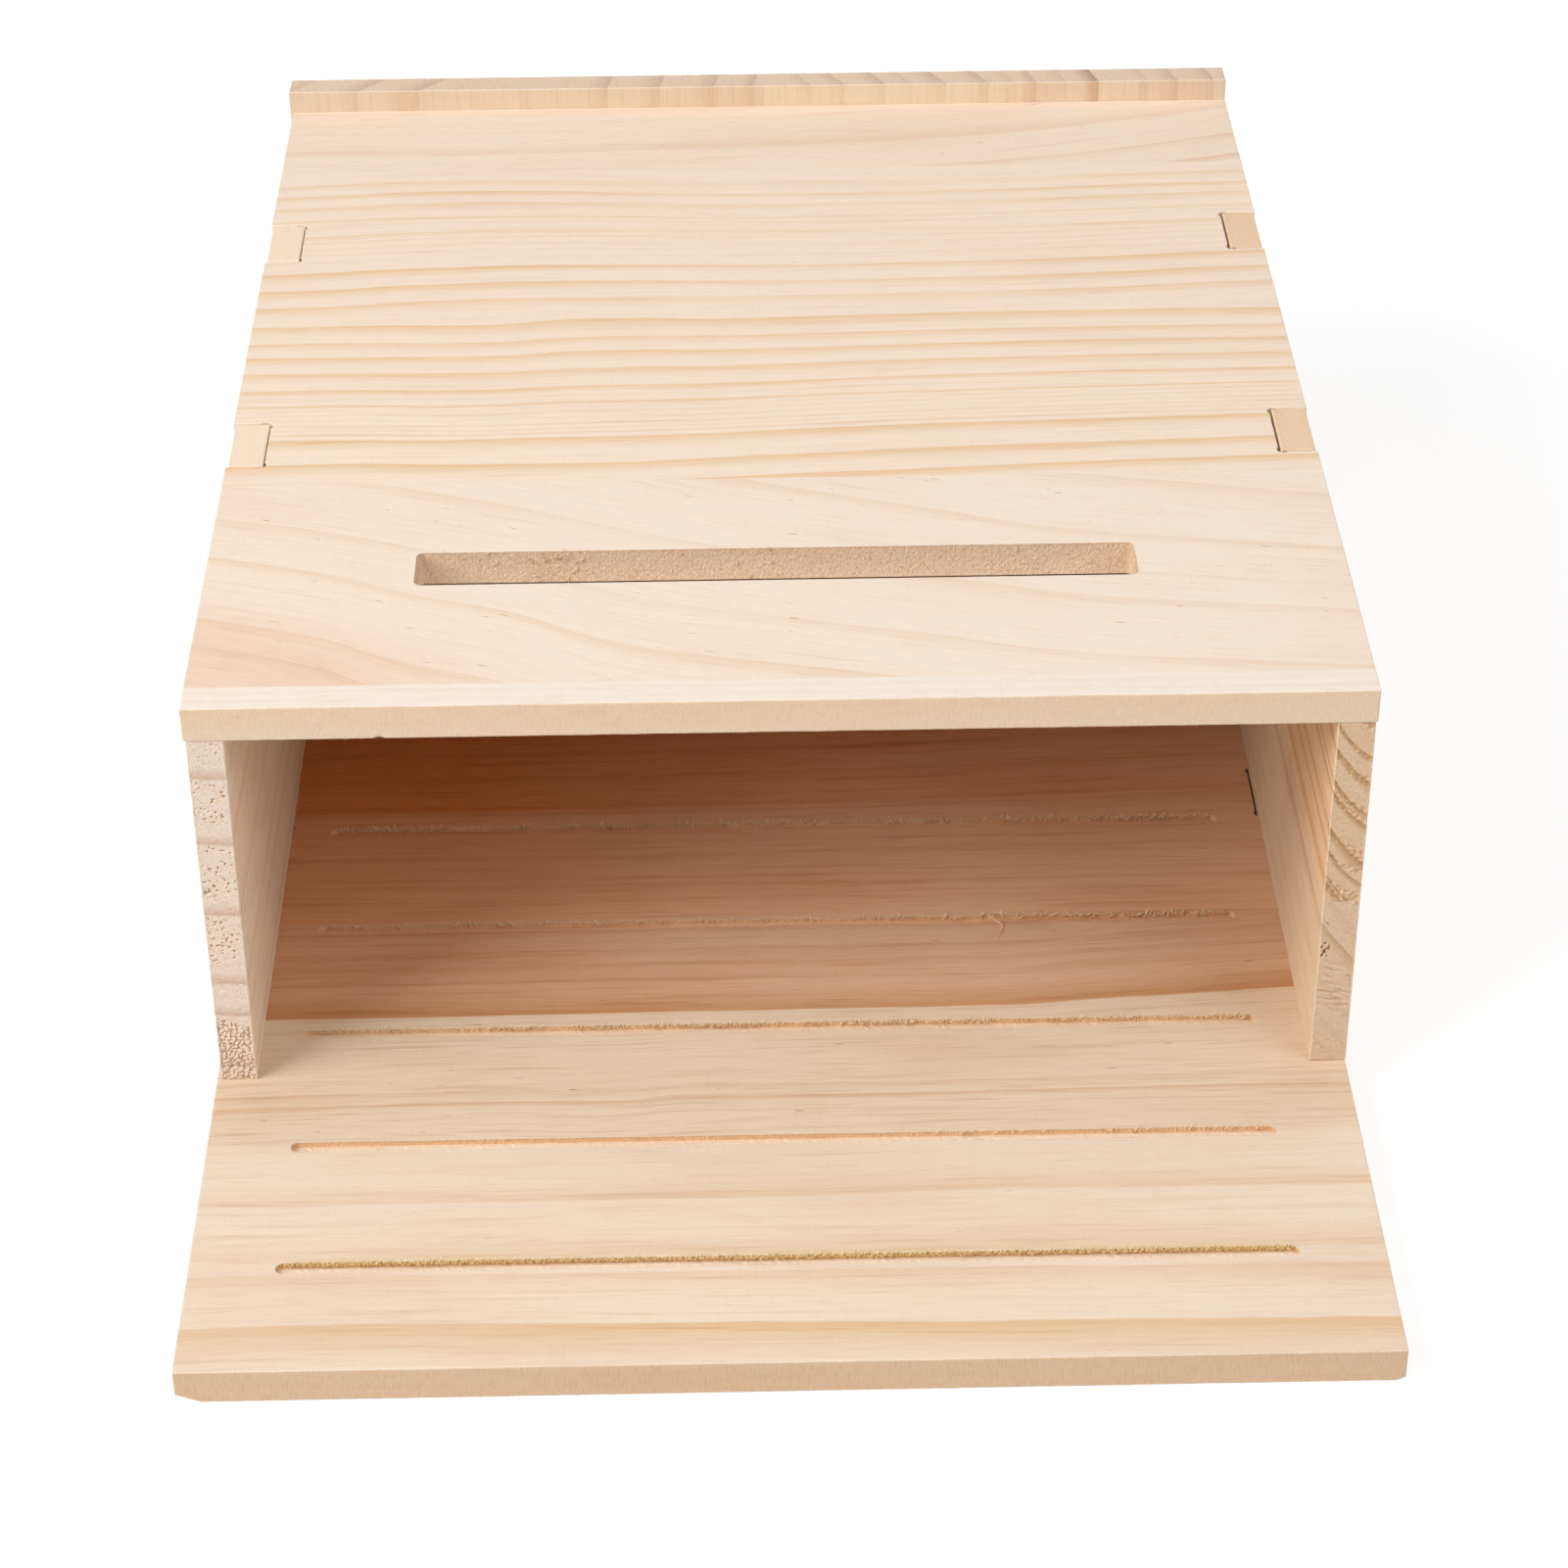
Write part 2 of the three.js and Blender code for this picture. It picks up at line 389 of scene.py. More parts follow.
# %% The saw
def saw(mesh, spot, facing):
    """Cuts away what lies beyond a plane and closes the cut."""
    everything = mesh.verts[:] + mesh.edges[:] + mesh.faces[:]
    result = bmesh.ops.bisect_plane(
        mesh, geom=everything, plane_co=spot, plane_no=facing, clear_outer=True,
    )
    rim = [part for part in result["geom_cut"] if isinstance(part, bmesh.types.BMEdge)]
    filled = bmesh.ops.holes_fill(mesh, edges=rim, sides=0)
    bmesh.ops.triangulate(mesh, faces=filled["faces"])


def sawn_apart(board, axis, places):
    """Saws a board at each place along an axis, fills the cuts, and returns the pieces in order."""
    pieces = []
    for low, high in zip([None] + places, places + [None]):
        piece = board.mesh.copy()
        for place, outwards in ((low, -1), (high, 1)):
            if place is None:
                continue
            spot = Vector()
            spot[axis] = place
            facing = Vector()
            facing[axis] = outwards
            saw(piece, spot, facing)
        pieces.append(piece)
    return pieces


print("Points closer than", weld * 1000, "mm are welded")


# %% [markdown]
# ## Relief of sawn and torn wood
#
# End grain is soft between its rings, so a saw leaves pits there and a ridge at each ring. A router
# tears the fibres that it meets along the grain. Both are small depths below the true surface, so the
# boards keep their size. They are made from noise that is drawn out where the wood's fibres run.

# %% Depths of the relief
torn_depth = 0.00026
torn_length = Vector((0.0007, 0.0006, 0.0012))
torn_scallops_share = 0.6
torn_fuzz_share = 0.5
torn_fuzz_length = 0.0004


def stretched(place, lengths):
    """A place measured in bumps, so that noise on it has these lengths."""
    return Vector((place.x / lengths.x, place.y / lengths.y, place.z / lengths.z))


def uneven(depth, place):
    """A depth times smooth noise from 0 to 1."""
    return depth * (1 + noise.noise(place)) / 2


def smooth_step(value, low, high):
    """Climbs smoothly from 0 to 1 as the value climbs from low to high."""
    share = min(1, max(0, (value - low) / (high - low)))
    return share * share * (3 - 2 * share)


def torn(place):
    """Depth of a cut that tore the fibres: scallops, with a fine fuzz over them."""
    scallops = abs(noise.noise(stretched(place, torn_length)))
    fuzz = abs(noise.noise(place / torn_fuzz_length))
    return torn_depth * (torn_scallops_share * scallops + torn_fuzz_share * fuzz)


print("Torn cuts are up to", torn_depth * 1000, "mm deep")


# %% Steps along the edges
plain_step = 0.002
fine_step = 0.00045
cut_step = 0.0004
plain_rows = 5
cut_rows = 20


def cut_steps(here, after):
    """The same fine steps all round a cut."""
    return cut_step


print("Steps of", [step * 1000 for step in (plain_step, fine_step, cut_step)], "mm")

# %% The front panel
edge_chip_place = -0.0835
edge_chip_half = 0.0012
edge_chip_height = 0.0008
front_side_depths = (0.0089, 0.0089)


def front_chip(place):
    """A small bite out of the near edge's underside, left of the middle."""
    near = abs(place.y - front_low.y) < arris and place.z < front_low.z + arris
    away = abs(place.x - edge_chip_place) / edge_chip_half
    return edge_chip_height * (1 - away ** 2) if near and away < 1 else 0


def near_edge_steps(here, after):
    """Finer steps along the near edge, which faces the camera."""
    return fine_step if max(here.y, after.y) < front_low.y + corner_ease else plain_step


x_axis, y_axis, z_axis = Vector((1, 0, 0)), Vector((0, 1, 0)), Vector((0, 0, 1))
front_middle = (front_low.x + front_high.x) / 2
front_notches = [
    (*front_side_depths, front_low.y + place, notch_reach) for place in front_tab_places
]
front = Board(x_axis, y_axis, z_axis)
outline = walk(panel_outline(front_low, front_high, front_notches), near_edge_steps)
rings = [front.wall(outline, (front_low.z, front_high.z), plain_rows, chip=front_chip)]
slot = round_bar((front_middle, front_low.y + slot_place), slot_length, slot_width)
rings.append(front.wall(
    walk(slot, cut_steps), (front_low.z, front_high.z), cut_rows, relief=torn, cut=1, edges=crisp,
))
for level, upwards in ((0, False), (1, True)):
    front.cap([ring[level] for ring in rings], upwards)
print("Front panel:", len(front.mesh.faces), "faces")

# %% [markdown]
# ## The back panel and its grooves
#
# Bats land on the lower end and climb, so grooves across the board give their claws a hold. A straight
# cutter ploughed them, and its torn fibres still stand at the far edge. Each groove is a pocket in the
# upper face: a short wall with many small steps on its far side, the side that the camera sees, and a
# rough floor. The sixth lies just under the front panel's near edge, and it is set back a little so
# that it stays out of sight.

# %% Grooves of the back panel
floor_grid = 0.0008
lane_shares = (-0.5, 0, 0.5)
floor_depth = 0.0003
wall_rows = 5
back_side_depths = (0.009, 0.0085)
back_middle = (back_low.x + back_high.x) / 2
seen_grooves = 5
hidden_groove_shift = 0.0016
groove_places = []
groove_place = back_low.y + first_groove
while groove_place < front_high.y - groove_pitch / 2:
    groove_places.append(groove_place + (hidden_groove_shift if len(groove_places) >= seen_grooves else 0))
    groove_place += groove_pitch


def groove_steps(here, after):
    """Fine steps on the far wall of a groove, which is walked from left to right."""
    return fine_step if after.x > here.x else plain_step


def groove_floor(board, rim, middle, top):
    """Fills a groove's floor through a grid of points that the cutter left at uneven heights."""
    extra = []
    half = groove_length / 2 - cutter_radius
    columns = int(2 * half / floor_grid)
    for column in range(columns + 1):
        for share in lane_shares:
            across = middle + cutter_radius * share
            place = Vector((back_middle - half + 2 * half * column / columns, across, top))
            rise = floor_depth * abs(noise.noise(stretched(place, torn_length)))
            extra.append(board.point(place + Vector((0, 0, rise)), rise))
    board.cap([list(reversed(rim))], True, extra, cut=1)


print("Grooves at", [round(place, 4) for place in groove_places])

# %% The back panel
back_notches = [
    (*back_side_depths, front_low.y + place, notch_reach) for place in back_tab_places
]
back = Board(x_axis, y_axis, z_axis)
outline = walk(panel_outline(back_low, back_high, back_notches), near_edge_steps)
rings = [back.wall(outline, (back_low.z, back_high.z), plain_rows)]
for side in (-1, 1):
    screw = (back_middle + side * hang_hole_spacing / 2, back_high.y - hanging_length / 2)
    rings.append(back.wall(hole(screw, hang_hole_radius), (back_low.z, back_high.z), plain_rows, cut=1))
lower = [ring[0] for ring in rings]
upper = [ring[1] for ring in rings]
for middle in groove_places:
    bar = walk(round_bar((back_middle, middle), groove_length, 2 * cutter_radius), groove_steps)
    floor = back_high.z - groove_depth
    floor_rim, top_rim = back.wall(
        bar, (floor, back_high.z), wall_rows, relief=torn, cut=1, foot=False, edges=crisp,
    )
    groove_floor(back, floor_rim, middle, floor)
    upper.append(top_rim)
back.cap(lower, False)
back.cap(upper, True)
print("Back panel:", len(groove_places), "grooves and", len(back.mesh.faces), "faces")

# %% Worn lower corners of the landing edge
worn_corners = {-1: (0.0058, 0.0022, 0.004), 1: (0.0021, 0.0011, 0.002)}
for side, (wide, high, deep) in worn_corners.items():
    corner = Vector((back_low.x if side < 0 else back_high.x, back_low.y, back_low.z))
    across = corner - Vector((side * wide, 0, 0))
    from_corner = across - corner
    facing = (Vector((0, 0, high)) - from_corner).cross(Vector((0, deep, 0)) - from_corner).normalized()
    saw(back.mesh, across, facing if facing.dot(corner - across) > 0 else -facing)
print("With worn corners:", len(back.mesh.faces), "faces")

# %% [markdown]
# ## The roof
#
# The roof stands across the top end, so its outline is drawn in X and Z and its thickness runs down
# along Y. Its grain runs from front to back, which puts end grain on the front edge that shows over the
# front panel.

# %% The roof
roof_rows = 12
roof_step = 0.0007
saw_depth = 0.00012
saw_length = Vector((0.0004, 0.003, 0.003))
roof_tab_middle = (back_high.z + front_low.z) / 2


def sawn(place):
    """The shallow marks of a saw on end grain."""
    return uneven(saw_depth, stretched(place, saw_length))


def roof_steps(here, after):
    """Finer steps along the front edge of the roof."""
    return roof_step if min(here.y, after.y) > roof_high.z - corner_ease else plain_step


left_roof_depth = left_high.x - roof_low.x + fit_clearance
right_roof_depth = roof_high.x - right_low.x + fit_clearance
roof_depth = max(left_roof_depth, right_roof_depth)
roof_notch = (roof_depth, roof_depth, roof_tab_middle, roof_notch_reach)
roof = Board(x_axis, z_axis, -y_axis)
flat_low, flat_high = (roof_low.x, roof_low.z), (roof_high.x, roof_high.z)
outline = walk(panel_outline(flat_low, flat_high, [roof_notch]), roof_steps)
rings = roof.wall(outline, (-roof_high.y, -roof_low.y), roof_rows, relief=sawn)
for ring, upwards in zip(rings, (False, True)):
    roof.cap([ring], upwards)
print("Roof:", len(roof.mesh.faces), "faces, notches", round(roof_depth * 1000, 2), "mm deep")

# %% [markdown]
# ## The sides
#
# A side is an outline of Y and Z, with tabs that reach through the panels and the roof. The near ends
# show sawn end grain. On the left its rings lie level, soft wood between them broke out in pits, and
# the foot crumbled. On the right the rings run down across the end as lumpy bands, with curved marks of
# the saw and a small broken knot below them.

# %% The outline of a side
end_step = 0.00022


def tab(middle, half, base, top):
    """The four corners of a tab, in the order in which they are walked."""
    return [(middle - half, base), (middle - half, top), (middle + half, top), (middle + half, base)]


def side_outline(low, high):
    """The outline of one side board, from its lower near corner."""
    inner, under, near, end = back_high.z, front_low.z, low.y, roof_low.y
    half = tab_length / 2
    roof_half = roof_tab_length / 2
    corners = [(near, inner)]
    for place in back_tab_places:
        corners += tab(front_low.y + place, half, inner, low.z)
    corners.append((end, inner))
    corners += [(y, z) for z, y in tab(roof_tab_middle, roof_half, end, high.y)]
    corners.append((end, under))
    for place in reversed(front_tab_places):
        corners += tab(front_low.y + place, -half, under, high.z)
    corners.append((near, under))
    return eased([Vector(corner) for corner in corners], corner_ease)


def end_steps(here, after):
    """Finer steps up the near end of a side."""
    near = left_low.y + corner_ease
    return end_step if max(here.x, after.x) < near else plain_step


print("A side has", len(side_outline(left_low, left_high)), "points before it is walked")

# %% Marks of the saw that cut the sides to length
mark_depth = 0.00009
mark_pitch = 0.0007
mark_length = 0.006
mark_slope = 0.35


def marks(place):
    """Fine slanted lines on a side's near end."""
    lane = (place.y - mark_slope * place.z) / mark_pitch
    return uneven(mark_depth, Vector((0, lane, place.z / mark_length)))


print("Saw marks:", mark_pitch * 1000, "mm apart")

# %% Pits between the level rings of the left side
left_ring_places = [0, 0.0035, 0.0178, 0.0264, 0.0448, 0.063, 0.0802]
left_pit_shares = [0, 0, 0.06, 0.75, 0.9, 0.6, 0.35]
pit_depth = 0.0005
pit_size, pit_detail_size, pit_detail_share = 0.0007, 0.00037, 0.5
patch_size = 0.004
pit_start_share, pit_rise_share, pit_patch_share = 0.5, 0.16, 0.44
outer_pit_share = 0.5
hard_band = (0.0038, 0.0062)
crumb_depth = 0.0005
crumb_size = 0.0011
crumb_edge_shares = (0.0, 0.22)
crumb_tops = (0.0178, 0.0144)
crumb_blend = 0.0008


def crumbs(place):
    """Depth of the cracks between the crumbs that the saw left of soft wood."""
    distances = noise.voronoi(place / crumb_size)[0]
    return crumb_depth * (1 - smooth_step(distances[1] - distances[0], *crumb_edge_shares))


def pitted(place):
    """Depth of the left side's end: crumbs at its foot, and pits in the soft wood of each ring above."""
    if place.x > left_low.y + corner_ease:
        return 0
    level = place.y - back_high.z
    outer = (left_high.x - place.z) / (left_high.x - left_low.x)
    line, share = max(pair for pair in zip(left_ring_places, left_pit_shares) if pair[0] <= max(level, 0))
    soft = smooth_step(level - line, *hard_band)
    edge = smooth_step(left_high.x - place.z, 0, pit_depth)
    patch = noise.noise(place / patch_size) + outer_pit_share * outer
    start = pit_start_share - pit_patch_share * share * patch
    grain = noise.noise(place / pit_size) + pit_detail_share * noise.noise(place / pit_detail_size)
    pits = pit_depth * smooth_step(grain, start, start + pit_rise_share) * math.sqrt(share)
    foot = smooth_step(crumb_tops[1] + (crumb_tops[0] - crumb_tops[1]) * outer - level, 0, crumb_blend)
    return edge * (pits * soft + foot * crumbs(place)) + marks(place)


print("Pits are up to", pit_depth * 1000, "mm deep")

# %% Ridges on the right side's end
ridge_places = [0.0385, 0.048, 0.0498, 0.0567, 0.062, 0.0719, 0.0745, 0.0826, 0.0893, 0.0985]
ridge_widths = [0.0002, 0.0017, 0.0013, 0.001, 0.0018, 0.0012, 0.0016, 0.0016, 0.001, 0.0014]
ridge_depth = 0.0003
trench_shares = (0.45, 1.0)
ridge_fall = 0.0095
ridge_fall_place = 0.085
ridge_fall_growth = 0.11
ridge_bend = 1.5
ridge_wander = 0.0007
ridge_wander_length = 0.0028
lump_length = 0.0009
lump_noises = (-0.25, 0.45)

hole_place = Vector((0.0305, 0.0012))
hole_reach = Vector((0.0026, 0.0018))
hole_size = 0.0008
hole_depth = 0.0007
knot_shares = (0.5, 1)
hole_noises = (0, 0.3)

curve_depth = 0.00026
curve_pitch = 0.0008
curve_length = 0.004
curve_noises = (0.0, 0.35)
curve_levels = (0.012, 0.018, 0.0275, 0.0295)
print("The right end has", len(ridge_places), "hard rings")


# %% Where a ring runs across the right end, and what broke beside it
def fallen(place):
    """Height of a point of the right end, measured where its ring meets the inner edge."""
    across = (place.z - right_low.x) / (right_high.x - right_low.x)
    height = place.y - back_high.z
    fall = ridge_fall + ridge_fall_growth * (height - ridge_fall_place)
    return height + fall * (1 - (1 - across) ** ridge_bend)


def curved_marks(place, level):
    """Short curved marks that the saw left below the knot."""
    lane = noise.noise(Vector((level / curve_pitch, 0, place.z / curve_length)))
    low, full, fading, high = curve_levels
    extent = smooth_step(level, low, full) * (1 - smooth_step(level, fading, high))
    return curve_depth * extent * smooth_step(lane, *curve_noises)


def knot(place):
    """Depth of the broken knot by the inner edge."""
    off = Vector((place.y - back_high.z, place.z - right_low.x)) - hole_place
    inside = 1 - smooth_step(math.hypot(off.x / hole_reach.x, off.y / hole_reach.y), *knot_shares)
    return hole_depth * inside * smooth_step(noise.noise(place / hole_size), *hole_noises)


print("Across the end a ring falls by", round(fallen(Vector((0, back_high.z, right_high.x))), 4), "m")


# %% The whole right end
def ridged(place):
    """Depth of the right side's end: lumpy bands on its hard rings, a broken knot and marks of the saw."""
    if place.x > right_low.y + corner_ease:
        return 0
    level = fallen(place) + ridge_wander * wander(place, ridge_wander_length)
    away = min(abs(level - ring) / width for ring, width in zip(ridge_places, ridge_widths))
    trench = 1 - smooth_step(away, *trench_shares)
    cracks = 1 - smooth_step(noise.noise(place / lump_length), *lump_noises)
    return ridge_depth * trench * cracks + knot(place) + curved_marks(place, level) + marks(place)


print("Its bands are up to", ridge_depth * 1000, "mm deep")

# %% Both sides
side_rows = 34


def make_side(low, high, relief):
    """A side board, whose near end gets its relief from a function of place."""
    board = Board(y_axis, z_axis, x_axis)
    rims = board.wall(walk(side_outline(low, high), end_steps), (low.x, high.x), side_rows, relief=relief)
    for rim, outer in zip(rims, (False, True)):
        board.cap([rim], outer)
    return board


left = make_side(left_low, left_high, pitted)
right = make_side(right_low, right_high, ridged)
print("Sides:", len(left.mesh.faces), "and", len(right.mesh.faces), "faces")

# %% [markdown]
# ## Shader maths as sentences
#
# A material is a sum of small ideas: stripes here, fibres there, a little darker in the pits. Written
# with one node call after another it can't be read. So an output socket is wrapped in a small class,
# and plus, minus and times on it add the Math nodes. Every other node comes from one method that sets
# its settings first.

# %% A wire
class Wire:
    """An output socket that can be used in a sum."""

    def __init__(self, bench, socket):
        self.bench = bench
        self.socket = socket

    def __add__(self, other):
        return self.bench.maths("ADD", self, other)

    def __sub__(self, other):
        return self.bench.maths("SUBTRACT", self, other)

    def __rsub__(self, other):
        return self.bench.maths("SUBTRACT", other, self)

    def __mul__(self, other):
        return self.bench.maths("MULTIPLY", self, other)

    def __truediv__(self, other):
        return self.bench.maths("DIVIDE", self, other)

    __radd__ = __add__
    __rmul__ = __mul__


print("A wire can be added, subtracted, multiplied and divided")


# %% A bench
class Bench:
    """A node tree in the making."""

    def __init__(self, tree):
        self.tree = tree
        self.tree.nodes.clear()

    def node(self, kind, settings, inputs, output=0):
        """Adds a node, sets it up, feeds its sockets, and returns one of its outputs."""
        node = self.tree.nodes.new(kind)
        for name, value in settings.items():
            if name == "points":
                draw_curve(node.mapping, value)
            else:
                setattr(node, name, value)
        for name, value in inputs.items():
            socket = node.inputs[name]
            if isinstance(value, Wire):
                self.tree.links.new(value.socket, socket)
            else:
                socket.default_value = value
        return Wire(self, node.outputs[output]) if len(node.outputs) else None

    def maths(self, operation, first, second=0.0):
        return self.node("ShaderNodeMath", {"operation": operation}, {0: first, 1: second})

    def vector(self, x, y, z):
        return self.node("ShaderNodeCombineXYZ", {}, {"X": x, "Y": y, "Z": z})

    def axis(self, vector, name):
        return self.node("ShaderNodeSeparateXYZ", {}, {0: vector}, name)

    def noise(self, place, lengths, detail=2.0, roughness=0.5):
        """Noise from 0 to 1 whose bumps have these lengths along, across and through the wood."""
        shrunk = self.node("ShaderNodeVectorMath", {"operation": "DIVIDE"}, {0: place, 1: lengths})
        inputs = {"Vector": shrunk, "Scale": 1.0, "Detail": detail, "Roughness": roughness}
        return self.node("ShaderNodeTexNoise", {}, inputs, "Fac")

    def step(self, value, low, high, lowest=0.0, highest=1.0, shape="SMOOTHSTEP"):
        """Climbs from lowest to highest as the value climbs from low to high."""
        inputs = {"Value": value, "From Min": low, "From Max": high, "To Min": lowest, "To Max": highest}
        return self.node("ShaderNodeMapRange", {"interpolation_type": shape}, inputs)

    def blend(self, share, first, second, way="MIX"):
        """Mixes two colours. The sockets for colours go by number, because their names are taken twice."""
        settings = {"data_type": "RGBA", "blend_type": way, "clamp_factor": True}
        return self.node("ShaderNodeMix", settings, {0: share, 6: first, 7: second}, 2)

    def curve(self, value, points):
        """Follows a curve through (value, result) points, which both may be any numbers."""
        lows = [min(numbers) for numbers in zip(*points)]
        spans = [max(numbers) - min(numbers) or 1 for numbers in zip(*points)]
        shares = [((x - lows[0]) / spans[0], (y - lows[1]) / spans[1]) for x, y in points]
        share = (value - lows[0]) / spans[0]
        return self.node("ShaderNodeFloatCurve", {"points": shares}, {"Value": share}) * spans[1] + lows[1]


print("A bench makes:", [name for name in vars(Bench) if not name.startswith("_")])


# %% Curves and new materials
def draw_curve(mapping, shares):
    """Puts points on a curve node, which comes with two of its own."""
    points = mapping.curves[0].points
    mapping.extend = "HORIZONTAL"
    for x, y in shares[2:]:
        points.new(x, y)
    for point, share in zip(points, sorted(shares)):
        point.location = share
        point.handle_type = "AUTO_CLAMPED"
    mapping.update()


def new_material(name):
    """An empty node material and the bench to build it on."""
    material = bpy.data.materials.new(name)
    material.use_nodes = True
    return material, Bench(material.node_tree)


print("Materials in the file so far:", len(bpy.data.materials))

# %% Colours as the eye reads them
full_level = 255
toe_end, toe_slope = 0.04045, 12.92
curve_offset, curve_power = 0.055, 2.4


def linear(level):
    """One level from 0 to 255 on a screen, as the linear light that Blender mixes."""
    share = level / full_level
    if share <= toe_end:
        return share / toe_slope
    return ((share + curve_offset) / (1 + curve_offset)) ** curve_power


def colour(red, green, blue):
    """A colour from its levels on a screen."""
    return (linear(red), linear(green), linear(blue), 1.0)


print("Pale pine in linear light:", [round(level, 2) for level in colour(246, 226, 200)[:3]])

# %% [markdown]
# ## A year's wood
#
# Pine grows pale wood in spring and hard tan wood in summer, and then stops. So across a ring the
# colour darkens slowly and drops at once. A list of ring ends says where that happens on a stave, and a
# curve node turns the distance across the stave into hardness. On a photographed stave the list follows
# the stripes that are seen on it, read off.

# %% From ring ends to a curve of hardness
ring_end = 0.0004
ring_margin = 0.001
least_gap = ring_end / 4
ring_shape = [(1, 0), (0.6, 0.26), (0.25, 0.66), (0.08, 0.92), (0, 1)]


def hardness_points(rings):
    """Points of (place, hardness). A ring is its end, its strength and how far its tan wood reaches back. A
    reach below zero means that the ring darkens the other way."""
    rings = sorted(rings)
    places = [place for place, strength, back in rings]
    points = [(places[0] - max(ring_margin, rings[0][2]) - 2 * ring_end, 0.0)]
    for index, (place, strength, back) in enumerate(rings):
        side = -1 if back > 0 else 1
        neighbour = index + side
        room = abs(places[neighbour] - place) - 2 * ring_end if 0 <= neighbour < len(rings) else abs(back)
        reach_back = side * max(min(abs(back), room), ring_end)
        points += [(place + share * reach_back, level * strength) for share, level in ring_shape]
        points.append((place - side * ring_end, 0.0))
    points.append((places[-1] + max(ring_margin, -rings[-1][2]) + ring_end, 0.0))
    result = []
    for place, level in sorted(points):
        if not result or place - result[-1][0] > least_gap:
            result.append((place, level))
    return result


print("One ring as a curve:", hardness_points([(0.0, 1.0, 0.006)]))

# %% [markdown]
# ## One pine for every stave
#
# All staves share one recipe and differ in their numbers. The recipe works in the stave's own
# directions: along the grain, across the stave, and through the board. The stripes bend with the tree,
# so a curve for the near edge and one for the far edge shift them. Because the ring value is worked out
# in three dimensions, the stripes of a face run on over its edge and into the end grain.
#
# It has five steps, each a short cell: stripes, planed faces, edges and ends, what tools left with
# painted shade in the hollows and a painted highlight on broken edges, and the surface. Noise from 0 to 1
# rarely leaves 0.2 to 0.8, so every mark names the shares of it between which it comes in.

# %% Tones that all staves share
tan_fibre = colour(214, 176, 132)
pale_fibre = colour(252, 238, 218)
dash_brown = colour(168, 118, 78)
# Brown of end-grain pores and ring lines, and by default the painted shade laid in the hollows of the relief
pore_brown_and_hollow_shade = colour(164, 118, 84)
cut_tan = colour(216, 178, 138)
cut_pale = colour(240, 214, 178)
blush_pink = colour(236, 204, 178)
end_pale = colour(236, 220, 204)
end_tan = colour(222, 198, 168)
# Heartwood's tint, which on the staves inside the chamber also lays painted shade
heartwood = colour(229, 167, 114)
print("Heartwood in linear light:", [round(level, 2) for level in heartwood[:3]])

# %% What a stave's look may say, and what it says when it is silent
straight = [(-0.2, 0.0), (0.2, 0.0)]
even = [(-0.2, 1.0), (0.2, 1.0)]
plain_look = dict(
    near_drift=straight, far_drift=straight, lean=0.6, bow=0.0, vigour=even, heart=None, heart_along=even,
    face_rings=1.0, streaks=0.5, hairs=0.4, fibres=0.5, dashes=0.25, blush=0.3,
    edge_wood=None, combed=0.12, strokes=0.15,
    end_wood=end_pale, end_share=0.5, end_lines=0.2, line_wood=pore_brown_and_hollow_shade, hollow_wood_and_shade=pore_brown_and_hollow_shade,
    torn_wood=(cut_tan, cut_pale),
)
print("A look may set", len(plain_look), "things besides its lay, its rings and its two tones")

# %% Stripes: lengths along the grain, across it and through the board
wobble = 0.0008
wobble_lengths = (0.06, 0.011, 0.012)
fine_wobble = 0.0002
fine_wobble_lengths = (0.009, 0.003, 0.003)
cloud_lengths = (0.11, 0.035, 0.03)
streak_lengths = (0.05, 0.0017, 0.003)
hair_lengths = (0.022, 0.0005, 0.0016)
fibre_lengths = (0.011, 0.00042, 0.0005)
least_hardness, hardness_gain = 0.6, 0.8
noise_middle, noise_spread = 0.5, 2


def stripes(bench, look):
    """The wires that later steps share: directions, ring hardness and the noises that follow the grain."""
    wood = SimpleNamespace()
    origin, wood.order, width = look["lay"]
    place = bench.node("ShaderNodeTexCoord", {}, {}, "Object")
    centred = bench.node("ShaderNodeMapping", {}, {"Vector": place, "Location": -origin})
    wood.along, wood.across, wood.through = [bench.axis(centred, axis) for axis in wood.order]
    share = bench.step(wood.across, *width, shape="LINEAR")
    drift = bench.curve(wood.along, look["near_drift"]) * (1 - share)
    drift = drift + bench.curve(wood.along, look["far_drift"]) * share
    grain = wood.across - drift
    wood.lie = bench.vector(wood.along, grain, wood.through)
    slow = bench.noise(wood.lie, wobble_lengths) - noise_middle
    quick = bench.noise(wood.lie, fine_wobble_lengths) - noise_middle
    tilt = wood.through * (wood.through * look["bow"] + look["lean"])
    wood.ring = grain + tilt + slow * (noise_spread * wobble) + quick * (noise_spread * fine_wobble)
    wood.cloud = bench.noise(wood.lie, cloud_lengths, detail=3.0)
    wood.streak = bench.noise(wood.lie, streak_lengths, detail=3.0, roughness=0.6)
    wood.hair = bench.noise(wood.lie, hair_lengths, detail=2.0, roughness=0.6)
    wood.fibre = bench.noise(wood.lie, fibre_lengths, detail=3.0, roughness=0.65)
    hardness = bench.curve(wood.ring, hardness_points(look["rings"]))
    hardness = hardness * bench.curve(wood.along, look["vigour"])
    wood.hardness = hardness * (least_hardness + hardness_gain * wood.streak)
    return wood


print("Fibres are", fibre_lengths[0] * 1000, "mm long in the grain's noise")

# %% Planed faces
blush_shares = (0.42, 0.68)
streak_shares = (0.5, 0.75)
hair_shares = (0.55, 0.7)
fibre_shares = (0.5, 0.72)
pale_fibre_shares = (0.46, 0.28)
dash_lengths = (0.0055, 0.0006, 0.0008)
dash_shares = (0.74, 0.8)
shimmer_lengths = (0.0008, 0.006, 0.006)
shimmer_shares = (0.4, 0.7)
streak_depth, hair_depth, fibre_depth, shimmer_depth = 0.4, 0.35, 0.3, 0.035


